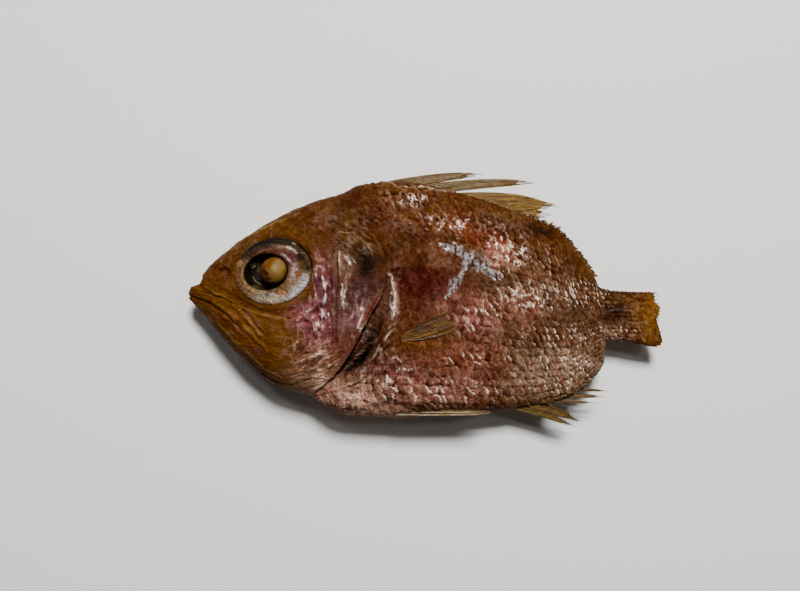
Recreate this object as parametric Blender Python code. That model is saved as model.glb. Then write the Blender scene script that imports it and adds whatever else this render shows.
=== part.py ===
"""A small smoked fish, whole but for its trimmed tail fin, lying on its right side.

The frame is in metres with +Z up. The snout points to -X, the back to +Y, and the left
flank faces up. The origin is on the resting surface, under the middle of the fish.
Sizes below are in millimetres and are turned to metres when a mesh is made.
"""

import math

import bmesh
import bpy
import numpy as np
from mathutils import Matrix, Vector

MM = 0.001

# Driving outlines, each a smooth line through (x, value) stations along the fish
BACK_LINE = [(-63.6, 2.5), (-63.0, 3.1), (-61.6, 3.8), (-60.7, 5.8), (-57.0, 10.1), (-50.0, 15.6),
             (-41.3, 21.2), (-29.8, 26.4), (-22.3, 28.7), (-17.8, 31.0), (-7.5, 32.0), (10.6, 28.4),
             (28.9, 22.2), (36.0, 19.0), (43.2, 10.5), (45.7, 6.8), (46.9, 3.3), (51.4, 2.1),
             (64.0, 1.6)]
BELLY_LINE = [(-63.6, -0.2), (-60.1, -3.8), (-53.8, -11.2), (-46.7, -18.3), (-39.6, -23.1),
              (-33.5, -25.0), (-30.6, -25.8), (-28.4, -28.0), (-21.3, -30.8), (-7.5, -31.7),
              (11.7, -30.6), (25.3, -29.0), (37.1, -26.0), (44.9, -20.8), (47.4, -16.8), (47.9, -13.8),
              (48.4, -11.3), (57.5, -10.8), (64.0, -11.4)]
HALF_THICKNESS = [(-63.6, 1.1), (-61.0, 2.4), (-55.0, 5.2), (-48.0, 7.7), (-40.0, 9.5), (-30.0, 10.4),
                  (-18.0, 10.8), (-4.0, 10.3), (10.0, 9.2), (24.0, 7.2), (36.0, 4.9), (44.0, 3.4),
                  (50.0, 2.7), (57.0, 1.7), (64.0, 0.9)]
MID_HEIGHT = [(-63.6, 8.2), (-45.0, 9.4), (-15.0, 10.0), (20.0, 9.6), (45.0, 8.8), (64.0, 8.4)]
# Roundness of the section's edges: below 1 is boxy, above 1 is a thin fin-like rim
ACROSS_POWER = 0.92
EDGE_POWER = [(-63.6, 0.80), (-30.0, 0.86), (5.0, 0.90), (26.0, 1.05), (40.0, 1.45), (47.0, 1.10),
              (53.0, 0.75), (64.0, 0.60)]
# The gill cover's free edge, as x for each height y of the flank
GILL_EDGE = [(-25.6, -30.3), (-23.6, -27.4), (-20.7, -24.0), (-14.8, -19.6), (-7.3, -15.6), (1.1, -11.3),
             (5.9, -10.5), (10.4, -11.3), (15.7, -14.2), (19.6, -18.6), (24.0, -21.3), (31.0, -22.6)]
# How far the trunk sinks behind the gill cover, for each height y of the flank
GILL_SINK = [(-29.0, 0.4), (-24.0, 1.6), (-14.0, 2.6), (-4.0, 2.2), (4.0, 1.1), (12.0, 0.5), (31.0, 0.35)]

NOSE_X = -63.6
NOSE_CAP = 0.5              # how far the lips bulge past the first section
NOSE_INSET = 0.45           # and how much smaller their foremost ring is
TAIL_X = 63.0               # mean end of the cut tail fin
BACK_HEAVY = 0.08           # share by which the back is thicker than the belly
LEAST_HALF = 0.2            # no section is thinner than twice this

# The head's skin stands over the trunk by this much, for each height y of the flank
HEAD_PROUD = [(-27.0, 0.12), (-20.0, 0.35), (8.0, 0.35), (20.0, 0.12)]
COVER_EDGE = 1.0            # thickness of the gill cover at its free edge
COVER_UNDERCUT = 0.2        # how far the free edge leans inwards
COVER_TUCK = 3.6            # depth at which the head ends inside the trunk
TUCK_BACK = 3.0             # and how far ahead of the free edge it ends
SINK_REACH = 5.4            # width of the sunk band behind the gill cover
SINK_RAMP = 2.6             # the last part of that width, over which the skin rises again
SHOULDER_RIDGE = 0.5        # height of the bony ridge behind that band
RIDGE_BEHIND = 0.6          # how far behind the band it stands
RIDGE_WIDTH = 1.3
RIDGE_NEEDS = (0.6, 1.6)    # sink over which the ridge appears
FLANK_PRESSED = 1.6         # height at which the hidden front of the trunk is cut flat

# Rims with broken fin rays: where each starts, is full, begins to end, and ends along x
BACK_RIM = (29.0, 34.0, 44.5, 46.0)
BELLY_RIM = (33.0, 38.0, 46.8, 48.4)
RIM_PITCH = 0.9             # spacing of the broken rays
RIM_DEPTH = 0.75
TAIL_PITCH = 2.25
TAIL_RAG = 1.1
RAG_MEAN = 0.4              # mean height of the teeth, as a share of the longest

TRUNK_SEGMENTS = 40
HEAD_SEGMENTS = 44
HEAD_RINGS = 25
# Places of the trunk's rings past the gill cover's rearmost point: close together at the cover,
# at the ragged rims and in the tail, and wide apart between them
FRONT_STEPS = [-5.0, -2.5, -0.6, 0.8, 2.0, 3.2, 4.4, 5.6, 7.0]
MIDDLE_RINGS = (9.0, 14)    # first place and count of the wide ones
RIM_RINGS = (29.8, 48.8, 0.72)
TAIL_RINGS = (50.0, 8)
# Past these two places the rings stop following the gill cover and begin to follow the tail
FOLLOW_COVER = (8.0, 36.0)
FOLLOW_TAIL = 54.0
CLEAR = 0.3                 # gap between touching pieces

# Eyes: the ring and the round hollow that holds the lens
EYE_AT = (-40.0, 6.05)
EYE_RADII = (10.5, 8.95)
EYE_CROWN = 4.4             # the dome of the ring above the eyeball's waist
EYE_DEPTH = 5.2             # and the eyeball below it
EYE_SINK = 3.0              # the waist's depth under the cheek's skin
HOLLOW_SHIFT = (-1.7, -0.25)
HOLLOW_RADII = (6.6, 5.3, 7.2)
HOLLOW_BELOW_CROWN = 0.3
LENS_SHIFT = (0.4, 0.05)
LENS_RADIUS = 3.6
LENS_BELOW_SKIN = 0.8
LOW_LENS_RADIUS = 3.2       # the lower lens, pushed in and squashed by the surface it lies on
LOW_LENS_BELOW_SKIN = 2.4
LOW_LENS_SQUASH = 0.6

MOUTH_FROM = (-66.0, 2.2)
MOUTH_TO = (-53.6, -5.2)
MOUTH_GAP = 0.7

MOUTH_LEVEL = 9.0           # middle height of the slot, and its height through the snout
MOUTH_THROUGH = 24.0

FIN_THICKNESS = 0.9
FIN_THINNING = 0.45         # share of the thickness that is gone at the tip
FIN_FULLNESS = 3            # the higher, the longer a spine keeps its width before its tip
FIN_BLUNTNESS = 0.7         # and the lower, the blunter that tip is
FIN_LEAST = 0.16            # half of the thinnest tip
FIN_STATIONS = 7
FIN_SIDES = 6
FIN_DROOP = 0.6             # how far a tip hangs below its root
# Fin rays and spines: name, root, tip, width near the root and sideways bow
SPINES = [
    ("dorsal_spine_front", (-9.0, 30.2), (16.0, 34.4), 2.4, 1.3),
    ("dorsal_spine_rear", (-4.0, 29.2), (29.9, 32.1), 2.7, 1.6),
    ("dorsal_ray_upper", (8.0, 27.0), (31.6, 27.0), 2.4, 1.2),
    ("dorsal_ray_middle", (10.0, 25.0), (36.0, 25.3), 3.1, 1.5),
    ("dorsal_ray_lower", (14.0, 23.4), (33.0, 23.4), 2.4, 0.9),
    ("anal_spine_a", (36.0, -24.0), (48.9, -24.9), 0.9, 0.1),
    ("anal_spine_b", (30.0, -26.2), (47.8, -26.3), 1.3, 0.3),
    ("anal_spine_c", (29.0, -27.0), (46.4, -28.2), 0.9, 0.2),
    ("anal_spine_d", (25.0, -27.2), (41.2, -32.9), 2.0, 0.9),
    ("anal_spine_e", (22.0, -28.2), (39.6, -34.3), 1.4, 0.7),
]
PELVIC_SPINE = ((-8.0, -29.4), (17.2, -29.9), 1.15, -0.3)
PELVIC_HEIGHTS = (("left", 12.6), ("right", 6.8))
# The folded breast fin, a fan from its root to its ragged tip on the flank
PECTORAL_ROOT = (-6.2, -11.4)
PECTORAL_TIP = (7.2, -6.9)
PECTORAL_HALF_WIDTH = [(0.0, 1.1), (0.35, 2.2), (0.8, 2.3), (1.0, 1.5)]
PECTORAL_RAYS = 5
PECTORAL_RINGS = 9
PECTORAL_PROUD = 0.55
PECTORAL_GROOVE = 0.45      # share of that height left between two rays
PECTORAL_SUNK = 1.0
PECTORAL_NOTCH = 0.12       # share of the length by which the membrane ends before the rays

SKIN_COLOUR = (0.20, 0.085, 0.030)
IRIS_COLOUR = (0.46, 0.38, 0.33)
LENS_COLOUR = (0.50, 0.30, 0.12)


def smooth_line(stations, at):
    """A monotone cubic through the stations, so the line never overshoots them."""
    xs, ys = np.array(stations, float).T
    at = np.clip(np.asarray(at, float), xs[0], xs[-1])
    gaps = np.diff(xs)
    rises = np.diff(ys) / gaps
    slopes = np.concatenate([rises[:1], np.zeros(len(xs) - 2), rises[-1:]])
    same = rises[:-1] * rises[1:] > 0
    before, after = 2 * gaps[1:] + gaps[:-1], gaps[1:] + 2 * gaps[:-1]
    safe_a = np.where(same, rises[:-1], 1.0)
    safe_b = np.where(same, rises[1:], 1.0)
    slopes[1:-1] = np.where(same, (before + after) / (before / safe_a + after / safe_b), 0.0)
    i = np.clip(np.searchsorted(xs, at, side="right") - 1, 0, len(gaps) - 1)
    t = (at - xs[i]) / gaps[i]
    return (ys[i] * (1 + 2 * t) * (1 - t) ** 2 + ys[i + 1] * t * t * (3 - 2 * t)
            + gaps[i] * (slopes[i] * t * (1 - t) ** 2 - slopes[i + 1] * t * t * (1 - t)))


def smooth_step(low, high, value):
    """0 below low, 1 above high, with a soft passage between."""
    t = np.clip((value - low) / (high - low), 0, 1)
    return t * t * (3 - 2 * t)


def rag(along, pitch):
    """Uneven teeth where the fin rays broke off, by distance along a rim, with a mean of 0."""
    tooth = along / pitch
    number = np.floor(tooth)
    # The sine of a large step is as good as a random size between 0.6 and 1 for each tooth
    size = 0.6 + 0.4 * np.sin(number * 12.9898) ** 2
    return size * (1 - np.abs(2 * (tooth - number) - 1)) - RAG_MEAN


def rim_share(rim, x):
    """1 along a rim, 0 away from it, with a soft passage at both ends."""
    start, full, ending, end = rim
    return smooth_step(start, full, x) * (1 - smooth_step(ending, end, x))


def outline(x):
    """The back's and the belly's y at x, with ragged rims where the rear fins are folded."""
    teeth = RIM_DEPTH * rag(x, RIM_PITCH)
    back = smooth_line(BACK_LINE, x) + rim_share(BACK_RIM, x) * teeth
    belly = smooth_line(BELLY_LINE, x) - rim_share(BELLY_RIM, x) * teeth
    return back, belly


def body_point(x, turn, offset=0.0, rest=0.0):
    """A point of the body's skin. turn is 0 at the back, a quarter turn at the left flank
    and a half turn at the belly. The flesh is pressed flat at height rest."""
    back, belly = outline(x)
    across, up = np.cos(turn), np.sin(turn)
    power = smooth_line(EDGE_POWER, x)
    half_height = np.maximum((back - belly) / 2 + offset, LEAST_HALF)
    half_thick = smooth_line(HALF_THICKNESS, x) * (1 + BACK_HEAVY * across) + offset
    half_thick = np.maximum(half_thick, LEAST_HALF)
    y = (back + belly) / 2 + half_height * np.sign(across) * np.abs(across) ** ACROSS_POWER
    z = smooth_line(MID_HEIGHT, x) + half_thick * np.sign(up) * np.abs(up) ** power
    return np.stack(np.broadcast_arrays(x, y, np.maximum(z, rest)), -1)


def flank_height(x, y):
    """Height of the upper flank's skin over a point of the plan."""
    back, belly = outline(x)
    share = np.clip((y - (back + belly) / 2) / ((back - belly) / 2), -1, 1)
    across = np.sign(share) * np.abs(share) ** (1 / ACROSS_POWER)
    thick = smooth_line(HALF_THICKNESS, x) * (1 + BACK_HEAVY * across)
    return smooth_line(MID_HEIGHT, x) + thick * (1 - across ** 2) ** (smooth_line(EDGE_POWER, x) / 2)


def gill_edge_x(turn):
    """Where the gill cover ends at each turn of the section: from a first guess, each of a dozen
    trials goes half the way to the edge at the height found so far."""
    x = np.full_like(turn, -18.0)
    for _ in range(12):
        x = (x + smooth_line(GILL_EDGE, body_point(x, turn)[..., 1])) / 2
    return x


def mesh_object(name, points, faces, collection):
    mesh = bpy.data.meshes.new(name)
    mesh.from_pydata((np.asarray(points) * MM).tolist(), [], faces)
    obj = bpy.data.objects.new(name, mesh)
    collection.objects.link(obj)
    return obj


def loft(name, rings, collection):
    """A closed solid through rings of equal count, each end closed by a fan to its middle."""
    rings = np.asarray(rings)
    count, around = rings.shape[:2]
    points = np.concatenate([rings.reshape(-1, 3), rings[[0, -1]].mean(1)])
    faces = []
    for i in range(count - 1):
        for j in range(around):
            k = (j + 1) % around
            faces.append((i * around + j, i * around + k, (i + 1) * around + k, (i + 1) * around + j))
    last = (count - 1) * around
    for j in range(around):
        k = (j + 1) % around
        faces.append((count * around, k, j))
        faces.append((count * around + 1, last + j, last + k))
    obj = mesh_object(name, points, faces, collection)
    bm = bmesh.new()
    bm.from_mesh(obj.data)
    bmesh.ops.remove_doubles(bm, verts=bm.verts, dist=0.00001)
    bmesh.ops.recalc_face_normals(bm, faces=bm.faces)
    bm.to_mesh(obj.data)
    bm.free()
    return obj


def section_turns(segments):
    return np.arange(segments) * 2 * math.pi / segments


def make_head(collection):
    """Snout, cheeks and gill covers, with the covers' free edge standing over the trunk."""
    turns = section_turns(HEAD_SEGMENTS)
    edge = gill_edge_x(turns)
    rings = [body_point(np.full_like(turns, NOSE_X), turns, -NOSE_INSET) - [NOSE_CAP, 0, 0]]
    # The lips and the notch above them need closer rings than the cheeks
    for share in [0, 0.015, 0.03, 0.045, 0.06, *np.linspace(0.09, 1, HEAD_RINGS)]:
        x = NOSE_X + (edge - NOSE_X) * share
        proud = smooth_line(HEAD_PROUD, body_point(x, turns)[:, 1])
        rings.append(body_point(x, turns, proud))
    rings.append(body_point(edge - COVER_UNDERCUT, turns, proud - COVER_EDGE, rest=COVER_EDGE))
    rings.append(body_point(edge - TUCK_BACK, turns, -COVER_TUCK, rest=COVER_TUCK))
    return loft("head", rings, collection)


def trunk_offset(behind, y):
    """The trunk's relief by its distance behind the gill cover: a sunk band, then a ridge."""
    sink = smooth_line(GILL_SINK, y)
    band = 1 - smooth_step(SINK_REACH - SINK_RAMP, SINK_REACH, behind)
    ridge = np.exp(-((behind - SINK_REACH - RIDGE_BEHIND) / RIDGE_WIDTH) ** 2)
    return SHOULDER_RIDGE * ridge * smooth_step(*RIDGE_NEEDS, sink) - sink * band


def make_trunk(collection):
    """The body from inside the gill covers to the cut tail fin."""
    turns = section_turns(TRUNK_SEGMENTS)
    edge = gill_edge_x(turns)
    nominal = float(edge.max())
    end_y = body_point(np.full_like(turns, TAIL_X), turns)[:, 1]
    tail_skew = TAIL_RAG * rag(end_y, TAIL_PITCH)
    start, count = MIDDLE_RINGS
    tail_start, tail_count = TAIL_RINGS
    steps = np.concatenate([FRONT_STEPS, np.linspace(start, BACK_RIM[0] - nominal, count),
                            np.arange(*RIM_RINGS) - nominal,
                            np.linspace(tail_start, TAIL_X, tail_count) - nominal])
    rings = []
    for step in steps:
        fade = 1 - smooth_step(*FOLLOW_COVER, step)
        tail = smooth_step(FOLLOW_TAIL, TAIL_X, step + nominal)
        x = nominal + step + (edge - nominal) * fade + tail_skew * tail
        behind = x - edge
        y = body_point(x, turns)[:, 1]
        hidden = 1 - smooth_step(0.5, 2.5, behind)
        rings.append(body_point(x, turns, trunk_offset(behind, y), rest=FLANK_PRESSED * hidden))
    return loft("fish", rings, collection)


def blade(name, root, tip, width, bow, collection):
    """A flat tapering fin spine between two points, lens-shaped across and bowed sideways."""
    angles = section_turns(FIN_SIDES)
    root, tip = np.array(root, float), np.array(tip, float)
    run = tip - root
    side = np.array([-run[1], run[0], 0.0])
    side /= np.linalg.norm(side)
    rings = []
    for t in np.linspace(0, 1, FIN_STATIONS):
        middle = root + run * t + side * bow * 2 * t * (1 - t)
        half = max(width / 2 * (1 - t ** FIN_FULLNESS) ** FIN_BLUNTNESS, FIN_LEAST)
        thick = max(FIN_THICKNESS / 2 * (1 - FIN_THINNING * t), FIN_LEAST)
        up = np.outer(thick * np.sin(angles), [0, 0, 1])
        rings.append(middle + np.outer(half * np.cos(angles), side) + up)
    return loft(name, rings, collection)


def make_fins(collection):
    """Every spine and ray that stands out of the body, each sunk into it at the root."""
    for name, root, tip, width, bow in SPINES:
        height = float(smooth_line(MID_HEIGHT, (root[0] + tip[0]) / 2))
        blade(name, (*root, height), (*tip, height - FIN_DROOP), width, bow, collection)
    root, tip, width, bow = PELVIC_SPINE
    for side, level in PELVIC_HEIGHTS:
        blade(f"pelvic_spine_{side}", (*root, level), (*tip, level), width, bow, collection)


def make_pectoral_fan(collection):
    """The breast fin pressed onto the flank: a ridged plate that follows the skin below it."""
    root, tip = np.array(PECTORAL_ROOT), np.array(PECTORAL_TIP)
    run = tip - root
    side = np.array([-run[1], run[0]]) / np.linalg.norm(run)
    across = np.linspace(-1, 1, 4 * PECTORAL_RAYS + 1)
    ridge = np.abs(np.cos(across * PECTORAL_RAYS * math.pi / 2))
    rings = []
    for share in np.linspace(0, 1, PECTORAL_RINGS):
        reach = share - PECTORAL_NOTCH * share ** 3 * (1 - ridge + 0.5 * np.abs(across))
        aside = across * smooth_line(PECTORAL_HALF_WIDTH, share)
        plan = root + np.outer(reach, run) + np.outer(aside, side)
        skin = flank_height(plan[:, 0], plan[:, 1])
        height = PECTORAL_GROOVE + (1 - PECTORAL_GROOVE) * ridge
        top = skin + PECTORAL_PROUD * height * smooth_step(-0.1, 0.2, share)
        upper = np.column_stack([plan, top])
        lower = np.column_stack([plan, skin - PECTORAL_SUNK])
        rings.append(np.concatenate([upper, lower[::-1]]))
    return loft("pectoral_fan", rings, collection)


def ellipsoid(name, centre, radii, turn, collection, segments=28, rings=14, depth=1.0):
    """A solid egg whose z axis points along turn's z. Its lower half is stretched by depth."""
    bm = bmesh.new()
    bmesh.ops.create_uvsphere(bm, u_segments=segments, v_segments=rings, radius=1.0)
    for vertex in bm.verts:
        if vertex.co.z < 0:
            vertex.co.z *= depth
    mesh = bpy.data.meshes.new(name)
    bm.to_mesh(mesh)
    bm.free()
    place = Matrix.Translation(Vector(centre) * MM) @ turn.to_4x4()
    mesh.transform(place @ Matrix.Diagonal((*(r * MM for r in radii), 1)))
    obj = bpy.data.objects.new(name, mesh)
    collection.objects.link(obj)
    return obj


def boolean(obj, kind, helper):
    """Joins or cuts with one object or a whole collection, and applies the result."""
    modifier = obj.modifiers.new(kind.lower(), "BOOLEAN")
    modifier.operation, modifier.solver = kind, "EXACT"
    if isinstance(helper, bpy.types.Collection):
        modifier.operand_type, modifier.collection = "COLLECTION", helper
    else:
        modifier.object = helper
    graph = bpy.context.evaluated_depsgraph_get()
    result = bpy.data.meshes.new_from_object(obj.evaluated_get(graph))
    obj.modifiers.clear()
    obj.data = result


def discard(collection):
    for obj in list(collection.objects):
        bpy.data.objects.remove(obj)
    bpy.data.collections.remove(collection)


def flank_frame(up):
    """The eye's place on the upper or lower flank, and a frame whose z leans out of the skin."""
    x, y = EYE_AT
    step = 2.0
    slope_x = float(flank_height(x + step, y) - flank_height(x - step, y)) / (2 * step)
    slope_y = float(flank_height(x, y + step) - flank_height(x, y - step)) / (2 * step)
    normal = Vector((-slope_x, -slope_y, 1)).normalized()
    side = Vector((1, 0, 0))
    side = (side - normal * side.dot(normal)).normalized()
    height = float(flank_height(x, y))
    if up < 0:
        height = 2 * float(smooth_line(MID_HEIGHT, x)) - height
        normal.z, side.z = -normal.z, -side.z
    frame = Matrix((side, normal.cross(side), normal)).transposed()
    return Vector((x, y, height)), frame


def press_flat(obj, level):
    """Flattens what lies below level, as flesh does against a hard surface."""
    for vertex in obj.data.vertices:
        vertex.co.z = max(vertex.co.z, level * MM)


def make_eyes(parts, cutters):
    """Both eyes with their lenses. It returns the cutters for their sockets in the head."""
    sockets = []
    stretch = EYE_DEPTH / EYE_CROWN
    for side, up, lens, lens_sink, squash in (
            ("left", 1, LENS_RADIUS, LENS_BELOW_SKIN, 1.0),
            ("right", -1, LOW_LENS_RADIUS, LOW_LENS_BELOW_SKIN, LOW_LENS_SQUASH)):
        skin, frame = flank_frame(up)
        waist = skin - frame.col[2] * EYE_SINK
        ring = ellipsoid(f"eyeball_{side}", waist, (*EYE_RADII, EYE_CROWN), frame, parts, depth=stretch)
        if up < 0:
            press_flat(ring, CLEAR)
        hollow_rise = EYE_CROWN - EYE_SINK - HOLLOW_BELOW_CROWN
        hollow_at = skin + frame @ Vector((HOLLOW_SHIFT[0], HOLLOW_SHIFT[1] * up, hollow_rise))
        hollow = ellipsoid(f"hollow_{side}", hollow_at, HOLLOW_RADII, frame, cutters, 24, 12)
        boolean(ring, "DIFFERENCE", hollow)
        lens_at = skin + frame @ Vector((LENS_SHIFT[0], LENS_SHIFT[1] * up, -lens_sink))
        ellipsoid(f"lens_{side}", lens_at, (lens, lens, lens * squash), frame, parts, 20, 10)
        room = tuple(r + CLEAR for r in (*EYE_RADII, EYE_CROWN))
        sockets.append(ellipsoid(f"socket_{side}", waist, room, frame, cutters, depth=stretch))
    return sockets


def make_mouth_cutter(collection):
    """A thin slot across the snout along the line where the lips meet."""
    (x0, y0), (x1, y1) = MOUTH_FROM, MOUTH_TO
    length = math.hypot(x1 - x0, y1 - y0)
    bm = bmesh.new()
    bmesh.ops.create_cube(bm, size=1.0)
    mesh = bpy.data.meshes.new("mouth")
    bm.to_mesh(mesh)
    bm.free()
    place = Matrix.Translation(Vector(((x0 + x1) / 2, (y0 + y1) / 2, MOUTH_LEVEL)) * MM)
    mesh.transform(place @ Matrix.Rotation(math.atan2(y1 - y0, x1 - x0), 4, "Z")
                   @ Matrix.Diagonal((length * MM, MOUTH_GAP * MM, MOUTH_THROUGH * MM, 1)))
    obj = bpy.data.objects.new("mouth", mesh)
    collection.objects.link(obj)
    return obj


def principled(name, colour, roughness):
    material = bpy.data.materials.new(name)
    material.use_nodes = True
    shader = material.node_tree.nodes["Principled BSDF"]
    shader.inputs["Base Color"].default_value = (*colour, 1)
    shader.inputs["Roughness"].default_value = roughness
    shader.inputs["Metallic"].default_value = 0.0
    return material


def dress(obj, material):
    obj.data.materials.clear()
    obj.data.materials.append(material)
    obj.data.shade_smooth()
    obj.data.set_sharp_from_angle(angle=math.radians(50))


def centre_over_origin(collection):
    """Moves everything so that the middle of the whole is over the origin and rests on it."""
    corners = np.array([vertex.co[:] for obj in collection.objects for vertex in obj.data.vertices])
    low, high = corners.min(0), corners.max(0)
    shift = Matrix.Translation((-(low[0] + high[0]) / 2, -(low[1] + high[1]) / 2, -low[2]))
    for obj in collection.objects:
        obj.data.transform(shift)


def new_collection(name):
    collection = bpy.data.collections.new(name)
    bpy.context.scene.collection.children.link(collection)
    return collection


def main():
    for obj in list(bpy.data.objects):
        bpy.data.objects.remove(obj)
    parts = new_collection("smoked_fish")
    cutters = new_collection("cutters")
    joined = new_collection("joined")

    fish = make_trunk(parts)
    make_head(joined)
    make_fins(joined)
    make_pectoral_fan(joined)
    boolean(fish, "UNION", joined)
    discard(joined)

    for socket in make_eyes(parts, cutters):
        boolean(fish, "DIFFERENCE", socket)
    boolean(fish, "DIFFERENCE", make_mouth_cutter(cutters))
    discard(cutters)

    skin = principled("smoked_skin", SKIN_COLOUR, 0.45)
    iris = principled("dried_iris", IRIS_COLOUR, 0.35)
    lens = principled("cooked_lens", LENS_COLOUR, 0.40)
    dress(fish, skin)
    for side in ("left", "right"):
        dress(bpy.data.objects[f"eyeball_{side}"], iris)
        dress(bpy.data.objects[f"lens_{side}"], lens)
    centre_over_origin(parts)


main()
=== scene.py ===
# %% [markdown]
# # A small smoked fish
#
# The CAD model is one plain solid with two eyes. Here it gets its skin: scales, wrinkles, gill
# covers, fin rays and the stains of the smoke. Everything is worked out with numpy as whole
# arrays and put into meshes once, so each shape is a formula that can be read and changed.

import itertools
import math

import bmesh
import bpy
import numpy as np
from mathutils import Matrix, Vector


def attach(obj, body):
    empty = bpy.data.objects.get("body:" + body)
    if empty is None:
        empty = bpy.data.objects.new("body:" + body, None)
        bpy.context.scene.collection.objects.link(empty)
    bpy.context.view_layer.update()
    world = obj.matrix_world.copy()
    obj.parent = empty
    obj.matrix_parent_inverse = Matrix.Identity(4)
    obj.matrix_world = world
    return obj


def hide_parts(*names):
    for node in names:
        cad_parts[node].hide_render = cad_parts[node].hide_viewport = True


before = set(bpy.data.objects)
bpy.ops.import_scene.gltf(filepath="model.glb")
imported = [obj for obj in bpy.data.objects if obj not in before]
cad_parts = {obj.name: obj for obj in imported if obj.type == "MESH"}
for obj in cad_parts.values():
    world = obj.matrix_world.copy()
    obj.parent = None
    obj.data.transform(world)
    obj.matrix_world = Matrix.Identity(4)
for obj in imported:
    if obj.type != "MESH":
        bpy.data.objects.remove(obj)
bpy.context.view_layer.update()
print("nodes:", sorted(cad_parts))


def placed(name, data):
    """A new object in the scene that shows the given mesh, lamp or camera."""
    made = bpy.data.objects.new(name, data)
    bpy.context.scene.collection.objects.link(made)
    return made


# %% [markdown]
# ## The fish's own measurements
#
# The skin has to lie on the same body as the solid, so the driving outlines are the same: the
# back and the belly seen from the side, and how thick the fish is. All of them are in
# millimetres, along the fish from the snout (-X) to the tail (+X), and a smooth curve joins the
# stations. Lofting sections along such curves gives a fish's body with few numbers. A sculpted
# mesh would need thousands.

# %% Outlines shared with the solid
MM = 0.001
# The model was centred over its origin after it was drawn, by this much
CENTRING = np.array([0.263, -0.126, 0.0])

# By place along the fish: the height of the back and the belly seen from the side, half the
# thickness, the middle's height over the floor, and how sharp the section's rims are
BACK_LINE = [(-63.6, 2.5), (-63.0, 3.1), (-61.6, 3.8), (-60.7, 5.8), (-57.0, 10.1), (-50.0, 15.6),
             (-41.3, 21.2), (-29.8, 26.4), (-22.3, 28.7), (-17.8, 31.0), (-7.5, 32.0), (10.6, 28.4),
             (28.9, 22.2), (36.0, 19.0), (43.2, 10.5), (45.7, 6.8), (46.9, 3.3), (51.4, 2.1),
             (64.0, 1.6)]
BELLY_LINE = [(-63.6, -0.2), (-60.1, -3.8), (-53.8, -11.2), (-46.7, -18.3), (-39.6, -23.1),
              (-33.5, -25.0), (-30.6, -25.8), (-28.4, -28.0), (-21.3, -30.8), (-7.5, -31.7),
              (11.7, -30.6), (25.3, -29.0), (37.1, -26.0), (44.9, -20.8), (47.4, -16.8), (47.9, -13.8),
              (48.4, -11.3), (57.5, -10.8), (64.0, -11.4)]
HALF_THICKNESS = [(-63.6, 1.1), (-61.0, 2.4), (-55.0, 5.2), (-48.0, 7.7), (-40.0, 9.5), (-30.0, 10.4),
                  (-18.0, 10.8), (-4.0, 10.3), (10.0, 9.2), (24.0, 7.2), (36.0, 4.9), (44.0, 3.4),
                  (50.0, 2.7), (57.0, 1.7), (64.0, 0.9)]
MID_HEIGHT = [(-63.6, 8.2), (-45.0, 9.4), (-15.0, 10.0), (20.0, 9.6), (45.0, 8.8), (64.0, 8.4)]
EDGE_POWER = [(-63.6, 0.80), (-30.0, 0.86), (5.0, 0.90), (26.0, 1.05), (40.0, 1.45), (47.0, 1.10),
              (53.0, 0.75), (64.0, 0.60)]
# By height seen from the side: where the gill cover ends, how deep the trunk sinks behind it, and how
# far the head's skin stands proud. Above the eye's level and at the throat the skin closed over
# the edge, so it sinks little there, unlike on the solid
GILL_EDGE = [(-25.6, -30.3), (-23.6, -27.4), (-20.7, -24.0), (-14.8, -19.6), (-7.3, -15.6), (1.1, -11.3),
             (5.9, -10.5), (10.4, -11.3), (15.7, -14.2), (19.6, -18.6), (24.0, -21.3), (31.0, -22.6)]
GILL_SINK = [(-29.0, 0.2), (-24.0, 1.2), (-16.0, 2.6), (-4.0, 1.9), (3.0, 0.9), (8.0, 0.15), (14.0, 0.0)]
HEAD_PROUD = [(-27.0, 0.12), (-20.0, 0.35), (2.0, 0.30), (9.0, 0.08), (20.0, 0.04)]

# First and last section. The lips bulge past the first by the cap
NOSE_X, TAIL_X, NOSE_CAP = -63.6, 63.0, 0.5
# A section is thicker towards the back by this share, and its sides are as round as the power says
BACK_HEAVY, ACROSS_POWER = 0.08, 0.92
# The cover's edge is this thick, and its skin ends this deep inside the trunk
COVER_EDGE, COVER_TUCK = 1.0, 3.6
# Behind the cover the trunk is sunk over this width, and then rises to a low ridge
SINK_REACH, SHOULDER_RIDGE = 5.4, 0.5

print("from the lips to the cut tail:", TAIL_X - NOSE_X, "mm")

# %% A smooth curve through stations, and points of the skin
def smooth_line(stations, at):
    """A monotone cubic through the stations: between two of them the curve never overshoots."""
    xs, ys = np.array(stations, float).T
    at = np.clip(np.asarray(at, float), xs[0], xs[-1])
    gaps = np.diff(xs)
    rises = np.diff(ys) / gaps
    slopes = np.concatenate([rises[:1], np.zeros(len(xs) - 2), rises[-1:]])
    same = rises[:-1] * rises[1:] > 0
    before, after = 2 * gaps[1:] + gaps[:-1], gaps[1:] + 2 * gaps[:-1]
    safe_a = np.where(same, rises[:-1], 1.0)
    safe_b = np.where(same, rises[1:], 1.0)
    slopes[1:-1] = np.where(same, (before + after) / (before / safe_a + after / safe_b), 0.0)
    i = np.clip(np.searchsorted(xs, at, side="right") - 1, 0, len(gaps) - 1)
    t = (at - xs[i]) / gaps[i]
    return (ys[i] * (1 + 2 * t) * (1 - t) ** 2 + ys[i + 1] * t * t * (3 - 2 * t)
            + gaps[i] * (slopes[i] * t * (1 - t) ** 2 - slopes[i + 1] * t * t * (1 - t)))


def smooth_step(low, high, value):
    """0 below low, 1 above high, with a soft passage between."""
    t = np.clip((value - low) / (high - low), 0, 1)
    return t * t * (3 - 2 * t)


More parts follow.
